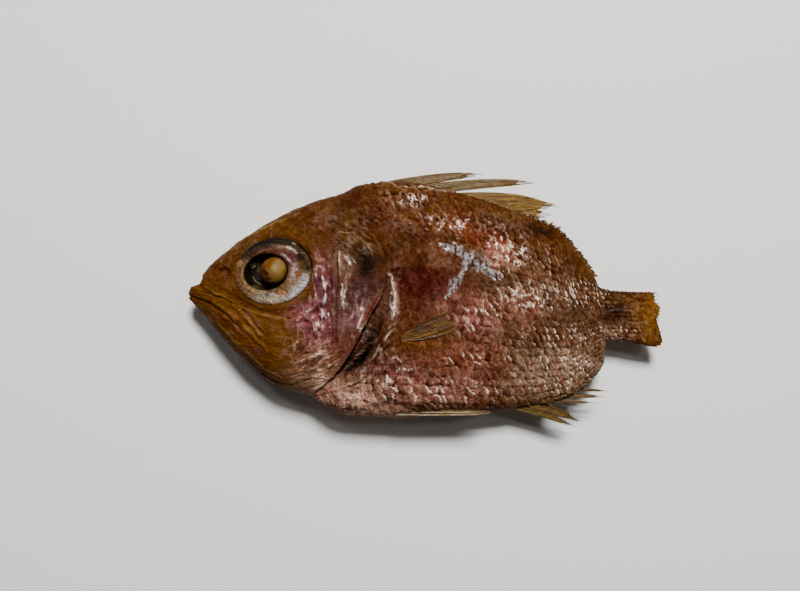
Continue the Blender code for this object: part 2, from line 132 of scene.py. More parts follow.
def body_point(x, turn, offset=0.0, rest=0.0):
    """A point of the skin: a flattened ellipse round the middle line, with the flesh pressed flat
    at height rest. turn is 0 at the back, a quarter turn on the left flank, half at the belly."""
    back, belly = smooth_line(BACK_LINE, x), smooth_line(BELLY_LINE, x)
    across, up = np.cos(turn), np.sin(turn)
    half_height = np.maximum((back - belly) / 2 + offset, 0.2)
    half_thick = np.maximum(smooth_line(HALF_THICKNESS, x) * (1 + BACK_HEAVY * across) + offset, 0.2)
    y = (back + belly) / 2 + half_height * np.sign(across) * np.abs(across) ** ACROSS_POWER
    z = smooth_line(MID_HEIGHT, x) + half_thick * np.sign(up) * np.abs(up) ** smooth_line(EDGE_POWER, x)
    return np.stack(np.broadcast_arrays(x, y, np.maximum(z, rest)), -1)


def flank_height(x, y):
    """Height of the upper flank's skin over a point of the plan."""
    back, belly = smooth_line(BACK_LINE, x), smooth_line(BELLY_LINE, x)
    share = np.clip((y - (back + belly) / 2) / ((back - belly) / 2), -1, 1)
    across = np.sign(share) * np.abs(share) ** (1 / ACROSS_POWER)
    thick = smooth_line(HALF_THICKNESS, x) * (1 + BACK_HEAVY * across)
    return smooth_line(MID_HEIGHT, x) + thick * (1 - across ** 2) ** (smooth_line(EDGE_POWER, x) / 2)


def gill_edge_x(turn):
    """Where the gill cover ends at each turn of the section, found by a few trial steps."""
    x = np.full_like(turn, -18.0)
    for _ in range(12):
        x = 0.5 * x + 0.5 * smooth_line(GILL_EDGE, body_point(x, turn)[..., 1])
    return x


print("skin at the middle:", body_point(np.array(0.0), np.array(math.pi / 2)).round(2), "mm")

# %% [markdown]
# ## The camera, and marks in its frame
#
# The photograph looks almost straight down, tilted a little towards the belly, through a lens
# of normal length. Scars, stains and ridges of the real skin are easiest to place where they are
# seen. So the skin's points are put through the same camera, and each mark below is given by its
# place in the 800 by 591 picture. The lower flank, which nobody sees, repeats the upper one: its
# points are mirrored to the upper side first.

# %% The camera
# The picture's size and the focal length in pixels, and how many mm a pixel is at the fish
PICTURE, FOCAL_PX, MM_PER_PX = (800, 591), 889, 0.27
SENSOR_MM = 36.0
TILT = math.radians(7)
CAMERA_AIM = np.array([-6.885, 0.81, 9.5])
CAMERA_DISTANCE = FOCAL_PX * MM_PER_PX
CAMERA_RIGHT = np.array([1.0, 0.0, 0.0])
CAMERA_UP = np.array([0.0, math.cos(TILT), math.sin(TILT)])
CAMERA_AHEAD = np.array([0.0, math.sin(TILT), -math.cos(TILT)])
CAMERA_AT = CAMERA_AIM - CAMERA_AHEAD * CAMERA_DISTANCE

camera_data = bpy.data.cameras.new("camera")
camera_data.sensor_width = SENSOR_MM
camera_data.lens = FOCAL_PX * SENSOR_MM / PICTURE[0]
camera_data.clip_start = 0.01
camera = placed("camera", camera_data)
camera.location = (CAMERA_AT + CENTRING) * MM
camera.rotation_euler = (TILT, 0, 0)
bpy.context.scene.camera = camera


def seen_at(points):
    """Where skin points appear in the picture, in pixels from its upper left corner."""
    middle = smooth_line(MID_HEIGHT, points[..., 0])
    upper = points.copy()
    upper[..., 2] = middle + np.abs(points[..., 2] - middle)
    ray = upper - CAMERA_AT
    depth = ray @ CAMERA_AHEAD
    return np.stack([PICTURE[0] / 2 + FOCAL_PX * (ray @ CAMERA_RIGHT) / depth,
                     PICTURE[1] / 2 - FOCAL_PX * (ray @ CAMERA_UP) / depth], -1)


print("lens:", camera_data.lens, "mm")

# %% [markdown]
# ## Noise
#
# Nothing on a dried fish is even. Two kinds of noise give that: value noise, which blends random
# numbers fixed to a lattice and makes soft blotches and creases, and cell noise, which measures
# the way to the nearest of many scattered points and makes flecks. Both mix the lattice's own
# indices into their random numbers, so every run gives the same fish.

# %% Value noise and cell noise
# Two large odd numbers that mix bits well, and masks of 32 and 24 bits
LATTICE_MIX, SEED_MIX = 0x85EBCA6B, 0x9E3779B9
WORD, FRACTION = 0xFFFFFFFF, 0xFFFFFF


def lattice_value(cells, seed):
    """A random number from 0 to 1 for each whole-number cell, mixed from its indices."""
    bits = np.full(cells.shape[:-1], (SEED_MIX * (seed + 1)) & WORD, np.uint64)
    for axis in range(cells.shape[-1]):
        index = (cells[..., axis].astype(np.int64) & WORD).astype(np.uint64)
        bits = ((bits ^ index) * np.uint64(LATTICE_MIX)) & np.uint64(WORD)
        bits ^= bits >> np.uint64(15)
    return (bits & np.uint64(FRACTION)) / FRACTION


def value_noise(points, size, seed):
    """Random corners of a lattice of the given size, blended smoothly between them."""
    at = points / size
    cell = np.floor(at)
    part = at - cell
    part = part * part * (3 - 2 * part)
    total = 0.0
    for corner in itertools.product((0, 1), repeat=points.shape[-1]):
        weight = np.prod(np.where(corner, part, 1 - part), axis=-1)
        total = total + weight * lattice_value(cell + corner, seed)
    return total


def layered_noise(points, size, layers, seed):
    """Several layers of value noise, each half the size and half as strong as the one before."""
    total = sum(value_noise(points, size / 2 ** k, seed + k) / 2 ** k for k in range(layers))
    return total / (2 - 2 / 2 ** layers)


def creases(points, angle, along, across, seed, layers=2):
    """Sharp-topped folds from 0 to 1 that run at angle (in degrees, in the picture): noise
    stretched along the fold, and folded over at its middle value so that a crest forms."""
    turn = math.radians(angle)
    u = points[..., 0] * math.cos(turn) + points[..., 1] * math.sin(turn)
    v = -points[..., 0] * math.sin(turn) + points[..., 1] * math.cos(turn)
    noise = layered_noise(np.stack([u / along, v / across], -1), 1.0, layers, seed)
    return 1 - np.abs(2 * noise - 1)


def wandering(points, size, layers, seeds):
    """A shift that wanders smoothly over the picture, within half a unit both ways."""
    return np.stack([layered_noise(points, size, layers, seed) for seed in seeds], -1) - 0.5


def nearest_fleck(points, size, seed):
    """Distance to the nearest of many scattered points, in cells, and that point's own number."""
    at = points / size
    cell = np.floor(at)
    distance = np.full(at.shape[:-1], 9.0)
    number = np.zeros(at.shape[:-1])
    for step in itertools.product((-1, 0, 1), repeat=2):
        near = cell + step
        spot = near + np.stack([lattice_value(near, seed), lattice_value(near, seed + 1)], -1)
        away = np.linalg.norm(at - spot, axis=-1)
        number = np.where(away < distance, lattice_value(near, seed + 2), number)
        distance = np.minimum(distance, away)
    return distance, number


# %% [markdown]
# ## Brushes
#
# Two brushes do the marking. A spot is a soft ellipse. A stroke follows a short given line
# and fades to both sides and towards its ends. The same brushes raise and cut the skin's relief
# and mix its colour, so a bright ridge and its raised edge always lie together.

# %% Spots and strokes
def rotated(pixels, centre, angle):
    """Picture points measured from a centre, along and across a direction in degrees."""
    turn = math.radians(angle)
    u, v = pixels[..., 0] - centre[0], pixels[..., 1] - centre[1]
    return u * math.cos(turn) + v * math.sin(turn), v * math.cos(turn) - u * math.sin(turn)


def spot(pixels, centre, radii, angle=0.0, hardness=1.0):
    """1 at the centre of an ellipse, about a third at its rim, and 0 well outside it."""
    u, v = rotated(pixels, centre, angle)
    reach = (u / radii[0]) ** 2 + (v / radii[1]) ** 2
    return np.exp(-reach ** hardness)


def nearest_on_line(pixels, line):
    """Distance to a line of points, and how far along it that is, from 0 to 1."""
    line = np.array(line, float)
    lengths = np.linalg.norm(np.diff(line, axis=0), axis=1)
    starts = np.concatenate([[0], np.cumsum(lengths)])
    distance = np.full(pixels.shape[:-1], 1e9)
    share = np.zeros(pixels.shape[:-1])
    for a, b, length, start in zip(line[:-1], line[1:], lengths, starts):
        t = np.clip(((pixels - a) @ (b - a)) / length ** 2, 0, 1)
        away = np.linalg.norm(pixels - a - t[..., None] * (b - a), axis=-1)
        share = np.where(away < distance, (start + t * length) / starts[-1], share)
        distance = np.minimum(distance, away)
    return distance, share


def stroke(pixels, line, width):
    """1 on the line, falling off to its sides, and thinner towards both ends."""
    distance, share = nearest_on_line(pixels, line)
    taper = 0.45 + 0.55 * np.sin(math.pi * np.clip(share, 0.02, 0.98)) ** 0.7
    return np.exp(-(distance / (width * taper)) ** 2)


def linear_from_hex(text):
    """A colour written as #rrggbb, turned from sRGB to the linear values that shaders use."""
    values = np.array([int(text[i:i + 2], 16) for i in (1, 3, 5)]) / 255
    return np.where(values <= 0.04045, values / 12.92, ((values + 0.055) / 1.055) ** 2.4)


def mixed(colour, weight, text):
    """Moves a colour array towards one colour by a weight for each point."""
    return colour + np.clip(weight, 0, 1)[..., None] * (linear_from_hex(text) - colour)


# %% [markdown]
# ## Meshes from grids
#
# Each skin is a grid of points, closed round the body and closed at both ends by a fan. The
# helper below puts any such grid into a mesh with whole-array calls and joins several grids into
# one piece. It also turns all faces outwards.

# %% Grids to meshes
def grid_faces(rows, columns):
    """Quads between the rows of a grid that closes on itself sideways, and two end fans."""
    i, j = np.meshgrid(np.arange(rows - 1), np.arange(columns), indexing="ij")
    k = (j + 1) % columns
    quads = np.stack([i * columns + j, i * columns + k, (i + 1) * columns + k, (i + 1) * columns + j], -1)
    j = np.arange(columns)
    k = (j + 1) % columns
    first = np.stack([np.full(columns, rows * columns), k, j], -1)
    base = (rows - 1) * columns
    last = np.stack([np.full(columns, rows * columns + 1), base + j, base + k], -1)
    return quads.reshape(-1, 4), np.concatenate([first, last])


def closed_grid(points, colour, gloss):
    """A grid's points, colours and gloss, each with a middle added for both ends, and its faces."""
    flat = [np.concatenate([a.reshape(-1, *a.shape[2:]), a[0].mean(0)[None], a[-1].mean(0)[None]])
            for a in (points, colour, gloss)]
    return flat, grid_faces(*points.shape[:2])


def make_piece(name, parts, material, node="fish", smooth_angle=60):
    """One mesh object from a list of ((points, colour, gloss), (quads, triangles)) grids. It is
    shown in place of a CAD node."""
    points, colours, glosses = (np.concatenate([values[k] for values, _ in parts]) for k in range(3))
    starts = np.cumsum([0] + [len(values[0]) for values, _ in parts[:-1]])
    quads, triangles = (np.concatenate([faces[k] + start for (_, faces), start in zip(parts, starts)])
                        for k in range(2))
    count = len(points)
    mesh = bpy.data.meshes.new(name)
    mesh.vertices.add(count)
    mesh.vertices.foreach_set("co", ((points + CENTRING) * MM).astype(np.float32).ravel())
    mesh.loops.add(quads.size + triangles.size)
    corners = np.concatenate([quads.ravel(), triangles.ravel()])
    mesh.loops.foreach_set("vertex_index", corners.astype(np.int32))
    mesh.polygons.add(len(quads) + len(triangles))
    loop_starts = np.concatenate([np.arange(len(quads)) * 4, quads.size + np.arange(len(triangles)) * 3])
    mesh.polygons.foreach_set("loop_start", loop_starts.astype(np.int32))
    mesh.update(calc_edges=True)
    paint = mesh.attributes.new("skin_colour", "FLOAT_COLOR", "POINT")
    paint.data.foreach_set("color", np.column_stack([colours, np.ones(count)]).astype(np.float32).ravel())
    wet = mesh.attributes.new("gloss", "FLOAT", "POINT")
    wet.data.foreach_set("value", glosses.astype(np.float32))
    work = bmesh.new()
    work.from_mesh(mesh)
    bmesh.ops.recalc_face_normals(work, faces=work.faces)
    work.to_mesh(mesh)
    work.free()
    piece = placed(name, mesh)
    mesh.materials.append(material)
    mesh.shade_smooth()
    mesh.set_sharp_from_angle(angle=math.radians(smooth_angle))
    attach(piece, "root")
    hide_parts(node)
    print(name, len(quads) * 2 + len(triangles), "triangles")


def grid_normals(points):
    """Outward unit normals of a grid that is closed sideways, from its neighbours' differences."""
    along = np.gradient(points, axis=0)
    around = np.roll(points, -1, axis=1) - np.roll(points, 1, axis=1)
    normal = np.cross(around, along)
    normal /= np.maximum(np.linalg.norm(normal, axis=-1, keepdims=True), 1e-9)
    outward = (normal * (points - points.mean(1, keepdims=True))).sum(-1).mean()
    return normal * np.sign(outward)


# %% [markdown]
# ## Skin that has been smoked
#
# Smoking dries a fish and stains it. The skin turns brown and clings to scales and bones, fat
# comes up and leaves it glossy in places, and where the scales were rubbed the flesh shows pink.
# In the shader that is a layered finish: a brown, slightly translucent base with fine pores and
# a thin clear coat of fat. The broad colours come from each point's own colour, and the shader
# adds what is finer than the mesh.

# %% A helper for nodes
def add_node(tree, kind, links=(), **settings):
    """Adds a node, sets its properties, and fills its sockets from values or other sockets."""
    made = tree.nodes.new(kind)
    for name, value in settings.items():
        setattr(made, name, value)
    for socket, value in dict(links).items():
        if isinstance(value, bpy.types.NodeSocket):
            tree.links.new(value, made.inputs[socket])
        else:
            made.inputs[socket].default_value = value
    return made


def per_metre(millimetres):
    """The texture scale that gives a pattern of this size."""
    return 1000 / millimetres


# %% Smoked tissue
# Painted highlights: the pale colour on crests and scale edges, which is partly the skin's own silver, and
# the cream that the shader paints where the skin glints
PALE_SKIN_AND_GLINT, GLINT_CREAM = "#fbe4d0", "#f2dcc6"
# The crests' share in the gloss, and what they add to it at their middle height
RUFFLE, RUFFLE_LEVEL = 0.25, 0.28


def tissue_material(name, fold=0.9, fold_depth=0.11, rough=(0.55, 0.25), shine=(0.03, 0.8), flesh=0.03,
                    fold_shading=0.44, grain=(1, 1, 1), lean=0.0, film=0.9, glinting=(0.40, 0.58), glint_paint=0.0):
    """Dried animal tissue. Its colour and gloss are read from the mesh. A noise with sharp crests,
    stretched by grain, gives fine folds that catch the light. The colour is painted darker and
    redder in their bottoms, as painted shade, and lighter on their crests, as painted highlight.
    The same crests ruffle the gloss before it is cut off between the two values of glinting, so the
    glints get crisp, ragged edges that are finer than the mesh. Where it glints, the colour is
    also painted pale, as a painted highlight. rough and shine hold two values: where the tissue is
    dull, and where it is wet with fat."""
    material = bpy.data.materials.new(name)
    material.use_nodes = True
    tree = material.node_tree
    shader = tree.nodes["Principled BSDF"]
    place = add_node(tree, "ShaderNodeTexCoord")
    stretched = add_node(tree, "ShaderNodeMapping", {"Vector": place.outputs["Object"], "Scale": grain,
                                                     "Rotation": (0, 0, math.radians(lean))})
    colour = add_node(tree, "ShaderNodeAttribute", attribute_name="skin_colour")
    wet = add_node(tree, "ShaderNodeAttribute", attribute_name="gloss")
    crests = add_node(tree, "ShaderNodeTexNoise", noise_type="RIDGED_MULTIFRACTAL")
    for socket, value in {"Scale": per_metre(fold), "Detail": 3.0, "Roughness": 0.6, "Offset": 1.0,
                          "Gain": 1.0, "Distortion": 0.5}.items():
        crests.inputs[socket].default_value = value
    tree.links.new(stretched.outputs[0], crests.inputs["Vector"])
    shade = add_node(tree, "ShaderNodeMapRange", {"Value": crests.outputs["Fac"], "From Min": 0.6,
                                                  "From Max": 1.7})
    # Painted shade in the bottoms of the fine folds and painted highlight on their crests
    fold_shade = add_node(tree, "ShaderNodeMix", {0: shade.outputs[0], 7: (*[1 + 0.35 * fold_shading] * 3, 1),
                                            6: (1 - fold_shading, 1 - 1.25 * fold_shading, 1 - 1.35 * fold_shading, 1)},
                    data_type="RGBA")
    tinted = add_node(tree, "ShaderNodeVectorMath", {0: colour.outputs["Color"], 1: fold_shade.outputs[2]},
                      operation="MULTIPLY")
    ruffled = add_node(tree, "ShaderNodeMath", {0: crests.outputs["Fac"], 1: RUFFLE, 2: wet.outputs["Fac"]},
                       operation="MULTIPLY_ADD")
    glint = add_node(tree, "ShaderNodeMapRange", {"Value": ruffled.outputs[0],
                                                  "From Min": RUFFLE_LEVEL + glinting[0],
                                                  "From Max": RUFFLE_LEVEL + glinting[1]})
    # Painted highlight: where the skin glints, its colour turns pale cream
    painted_glint = add_node(tree, "ShaderNodeMath", {0: glint.outputs[0], 1: glint_paint}, operation="MULTIPLY")
    surface = add_node(tree, "ShaderNodeMix", {0: painted_glint.outputs[0], 6: tinted.outputs[0],
                                               7: (*linear_from_hex(GLINT_CREAM), 1)}, data_type="RGBA")
    tree.links.new(surface.outputs[2], shader.inputs["Base Color"])
    for socket, (dull, greasy) in (("Roughness", rough), ("Specular IOR Level", shine),
                                   ("Coat Weight", (0.0, film))):
        ramp = add_node(tree, "ShaderNodeMapRange", {"Value": glint.outputs[0], "To Min": dull,
                                                     "To Max": greasy})
        tree.links.new(ramp.outputs[0], shader.inputs[socket])
    bump = add_node(tree, "ShaderNodeBump", {"Height": crests.outputs["Fac"], "Strength": 1.0,
                                             "Distance": fold_depth * MM})
    tree.links.new(bump.outputs[0], shader.inputs["Normal"])
    shader.inputs["IOR"].default_value = 1.5
    shader.inputs["Coat Roughness"].default_value = 0.15
    shader.inputs["Specular Tint"].default_value = (1.0, 0.84, 0.70, 1)
    shader.inputs["Subsurface Weight"].default_value = flesh
    shader.inputs["Subsurface Radius"].default_value = (1.0, 0.45, 0.25)
    shader.inputs["Subsurface Scale"].default_value = 0.8 * MM
    return material


# %% The skins of the face and of the trunk
face_material = tissue_material("smoked_face_skin", 0.9, 0.09, fold_shading=0.22, grain=(0.35, 1, 1), lean=40,
                                glint_paint=0.6)
skin_material = tissue_material("oily_smoked_skin", grain=(1, 0.7, 1), glint_paint=0.85)
print("nodes in a skin's material:", len(skin_material.node_tree.nodes))

# %% [markdown]
# ## Scales
#
# A bream-like fish carries its scales in rows along the body, each row set half a scale on from
# its neighbours, and each scale lapping over the one behind it. The field below finds, for every
# point, which scale lies on top: of all scales whose oval covers the point, the one nearest the
# head. The height rises towards that scale's free edge and drops there, which makes the little
# steps that catch the light. A texture could draw this, but real steps also cast shadows and
# give the outline its roughness.

# %% The field of scales
ROW_BACK = [(-26.0, 28.0), (0.0, 31.0), (20.0, 23.5), (34.0, 13.5), (46.0, 3.4), (64.0, 1.6)]
ROW_BELLY = [(-26.0, -29.0), (0.0, -31.7), (22.0, -29.0), (36.0, -23.0), (48.0, -11.8), (64.0, -11.4)]
# Where the body is highest, half of it is this high, and the rows and the scales in a row lie this
# far apart, in mm. A scale reaches this many scales along its row and rows across it
HALF_BODY, ROW_PITCH, SCALE_PITCH = 31.0, 2.40, 1.95
SCALE_REACH = (1.06, 0.74)
SCALE_SEED = 3


def scale_field(x, y):
    """For each point: rise from 0 to 1 over its scale, a bright dash in the middle of its free
    edge, painted as a highlight, the gap towards the next row, and the scale's own random number."""
    back, belly = smooth_line(ROW_BACK, x), smooth_line(ROW_BELLY, x)
    narrowing = (back - belly) / 2 / HALF_BODY
    plan = np.stack([x, y], -1)
    wave = layered_noise(plan, 6.0, 2, SCALE_SEED + 40) - 0.5
    ruck = layered_noise(plan, 1.6, 2, SCALE_SEED + 50) - 0.5
    row_at = (y - (back + belly) / 2) / (ROW_PITCH * narrowing ** 0.55) + 0.35 * wave + 0.32 * ruck
    along = (x + 1.2 * wave + 0.9 * ruck) / (SCALE_PITCH * narrowing ** 0.25)
    rise, glint_tick, gap, number = (np.zeros(x.shape) for _ in range(4))
    foremost = np.full(x.shape, 1e9)
    for step in (-1, 0, 1):
        row = np.floor(row_at + 0.5) + step
        stagger = 0.5 * (row % 2)
        for back_by in (0, 1, 2):
            place = np.floor(along - stagger) - back_by + 1
            tag = np.stack([place, row], -1)
            luck = [lattice_value(tag, SCALE_SEED + k) for k in range(4)]
            middle = place + stagger + 0.5 * (luck[0] - 0.5)
            aside = (row_at - row) / SCALE_REACH[1]
            lean = (0.5 + 0.8 * (luck[3] - 0.5)) * aside
            ahead = (along - middle) / (SCALE_REACH[0] * (0.8 + 0.4 * luck[1])) + lean
            reach = np.sqrt(ahead ** 2 + aside ** 2)
            on_top = (reach < 1) & (middle < foremost)
            foremost = np.where(on_top, middle, foremost)
            rise = np.where(on_top, 0.5 + 0.5 * ahead, rise)
            bright = smooth_step(0.62, 0.92, reach) * smooth_step(0.30, 0.70, ahead)
            glint_tick = np.where(on_top, bright * (1 - smooth_step(0.30, 0.80, np.abs(aside))), glint_tick)
            gap = np.where(on_top, smooth_step(0.55, 0.95, np.abs(aside)), gap)
            number = np.where(on_top, luck[2], number)
    return rise, glint_tick, gap, number


# %% [markdown]
# ## The marks of this fish
#
# Each list below is a set of brush marks in the picture's pixels, from the snout to the tail.
# A stain is a place, two radii, a direction, a colour and a strength. A ridge is a line, its
# width in pixels, its height in millimetres (below 0 it is a groove), and a colour with its
# strength. Bones under dried skin stand out as ridges, and folds of skin as grooves beside them.

# %% Stains
SKIN_BASE = "#653c10"
# place, radii, direction, colour, strength
SKIN_STAINS = [
    ((352, 305), (28, 62), 4, "#563428", 0.9),
    ((225, 273), (7, 5), 25, "#4a1a06", 0.9),
    ((222, 274.5), (2.6, 2.2), 0, "#a85a1c", 0.9),
    ((400, 372), (46, 26), 0, "#744238", 0.9),
    ((545, 320), (90, 60), 10, "#624e3a", 0.85),
    ((262, 222), (100, 26), -32, "#694409", 0.7),
    ((330, 205), (44, 14), -22, "#583005", 0.8),
    ((199, 285), (16, 11), 20, "#6e430d", 0.8),
    ((222, 268), (16, 12), 0, "#5b3303", 0.8),
    ((228, 296), (34, 10), 35, "#643a08", 0.8),
    ((240, 312), (42, 9), 38, "#704812", 0.7),
    ((235, 325), (18, 4), 42, "#74300a", 0.8),
    ((272, 343), (34, 24), 20, "#683e0c", 0.8),
    ((256, 352), (10, 4), 20, "#63343c", 0.5),
    ((240, 352), (48, 6), 44, "#4a290d", 0.8),
    ((215, 322), (16, 5), 55, "#5d370c", 0.7),
    ((296, 381), (26, 7), 12, "#5f4128", 0.8),
    ((322, 384), (24, 8), -12, "#64452e", 0.8),
    ((348, 370), (24, 7), -22, "#6c4a3a", 0.7),
    ((356, 382), (17, 6.5), -20, "#80603c", 0.85),
    ((436, 252), (14, 13), 10, "#b98868", 0.4),
    ((322, 292), (10, 40), 2, "#74404e", 0.9),
    ((305, 312), (16, 9), -10, "#6a2830", 0.8),
    ((318, 325), (18, 20), -10, "#74404a", 0.8),
    ((301, 318), (17, 15), 0, "#7c3a46", 0.55),
    ((313, 347), (20, 14), -25, "#824c4c", 0.6),
    ((333, 332), (5, 26), 0, "#6a201c", 0.7),
    ((312, 266), (8, 16), 0, "#5a2c1a", 0.7),
    ((326, 258), (8, 16), 5, "#6b3a28", 0.6),
    ((315, 362), (22, 12), -28, "#86583e", 0.8),
    ((341, 325), (5, 34), 0, "#5e4030", 0.8),
    ((341, 268), (8, 20), 0, "#8c6c56", 0.8),
    ((352, 248), (16, 9), 30, "#4d3018", 0.8),
    ((364, 243), (16, 7), 30, "#614327", 0.7),
    ((366, 266), (14, 20), 10, "#20120c", 0.95),
    ((360, 292), (14, 14), 0, "#44242a", 0.9),
    ((356, 318), (13, 16), 15, "#8a5660", 0.8),
    ((347, 345), (12, 12), 10, "#6c3c30", 0.8),
    ((374, 287), (8, 12), 10, "#54342c", 0.7),
    ((430, 205), (130, 22), 8, "#6c4010", 0.9),
    ((395, 185), (60, 8), -3, "#7a562c", 0.6),
    ((352, 205), (30, 16), -30, "#5b3104", 0.8),
    ((395, 228), (44, 18), 15, "#5b2f06", 0.85),
    ((350, 222), (18, 12), 0, "#5b3a15", 0.7),
    ((395, 250), (26, 12), 10, "#552f0f", 0.8),
    ((455, 224), (60, 10), 12, "#784713", 0.7),
    ((480, 234), (34, 10), 22, "#8a400e", 0.85),
    ((505, 222), (40, 9), 22, "#562b05", 0.8),
    ((425, 286), (42, 28), 0, "#4a0e04", 1.0),
    ((454, 300), (24, 18), 0, "#6e382c", 0.7),
    ((405, 315), (14, 24), 5, "#5c2a12", 0.85),
    ((438, 252), (28, 8), 8, "#73482c", 0.6),
    ((383, 260), (9, 7), 0, "#3c1d0a", 0.8),
    ((372, 314), (7, 26), 14, "#583828", 0.8),
    ((382, 302), (7, 22), 0, "#6a4a3a", 0.8),
    ((372, 345), (12, 14), 20, "#3a2412", 0.9),
    # Near black in the gill slit's opening: painted shade
    ((361, 353), (24, 6.5), -52, "#0a0402", 1.0),
    ((392, 295), (6, 26), 2, "#a88070", 0.7),
    ((505, 254), (18, 14), 20, "#b88068", 0.85),
    ((470, 312), (40, 18), 0, "#8e5a4a", 0.85),
    ((520, 312), (40, 18), 8, "#88583f", 0.8),
    ((525, 298), (24, 10), 15, "#90523a", 0.6),
    ((463, 332), (4, 11), 0, "#5a0400", 0.85),
    ((480, 330), (16, 14), 0, "#8a4848", 0.7),
    ((575, 314), (50, 14), 12, "#5f3d20", 0.85),
    ((545, 258), (42, 18), 35, "#6b401c", 0.85),
    ((560, 285), (40, 10), 15, "#7c5434", 0.6),
    ((577, 256), (34, 10), 48, "#6a4214", 0.9),
    ((590, 278), (16, 8), 20, "#60390f", 0.8),
    ((541, 228), (13, 5), 20, "#2a1203", 0.9),
    ((515, 215), (34, 6), 15, "#6e4917", 0.7),
    ((430, 386), (95, 16), -2, "#a06c5a", 0.9),
    ((354, 397), (50, 14), 20, "#d8ac94", 0.95),
    # A dark band along the belly's lower edge: painted shade
    ((420, 404), (110, 4), 0, "#482810", 0.7),
    ((428, 347), (26, 8), -6, "#6e4008", 0.85),
    ((425, 328), (30, 12), -20, "#643808", 0.8),
    ((470, 356), (48, 16), 0, "#864c34", 0.85),
    ((500, 383), (40, 10), -4, "#744432", 0.7),
    ((560, 372), (50, 22), -12, "#a48a6e", 0.9),
    ((590, 350), (20, 10), 0, "#735536", 0.8),
    ((545, 338), (50, 10), 0, "#744c2e", 0.8),
    ((608, 298), (20, 9), 0, "#66400f", 0.85),
    ((614, 312), (13, 10), 0, "#300e04", 0.9),
    ((618, 332), (32, 6), -2, "#8c6c4c", 0.9),
    ((650, 312), (17, 26), 0, "#8c601c", 0.95),
    ((655, 300), (8, 8), 0, "#98722c", 0.7),
]
print(len(SKIN_STAINS), "stains")

# %% Ridges, grooves and scars
SILVER, CRACK_DARK = "#acaeb0", "#2c1f1a"
THROAT_FOLDS = ([(331, 397), (334, 405)], [(338, 394), (342, 403)], [(345, 392), (350, 402)],
                [(353, 389), (358, 399)], [(361, 385), (367, 395)])
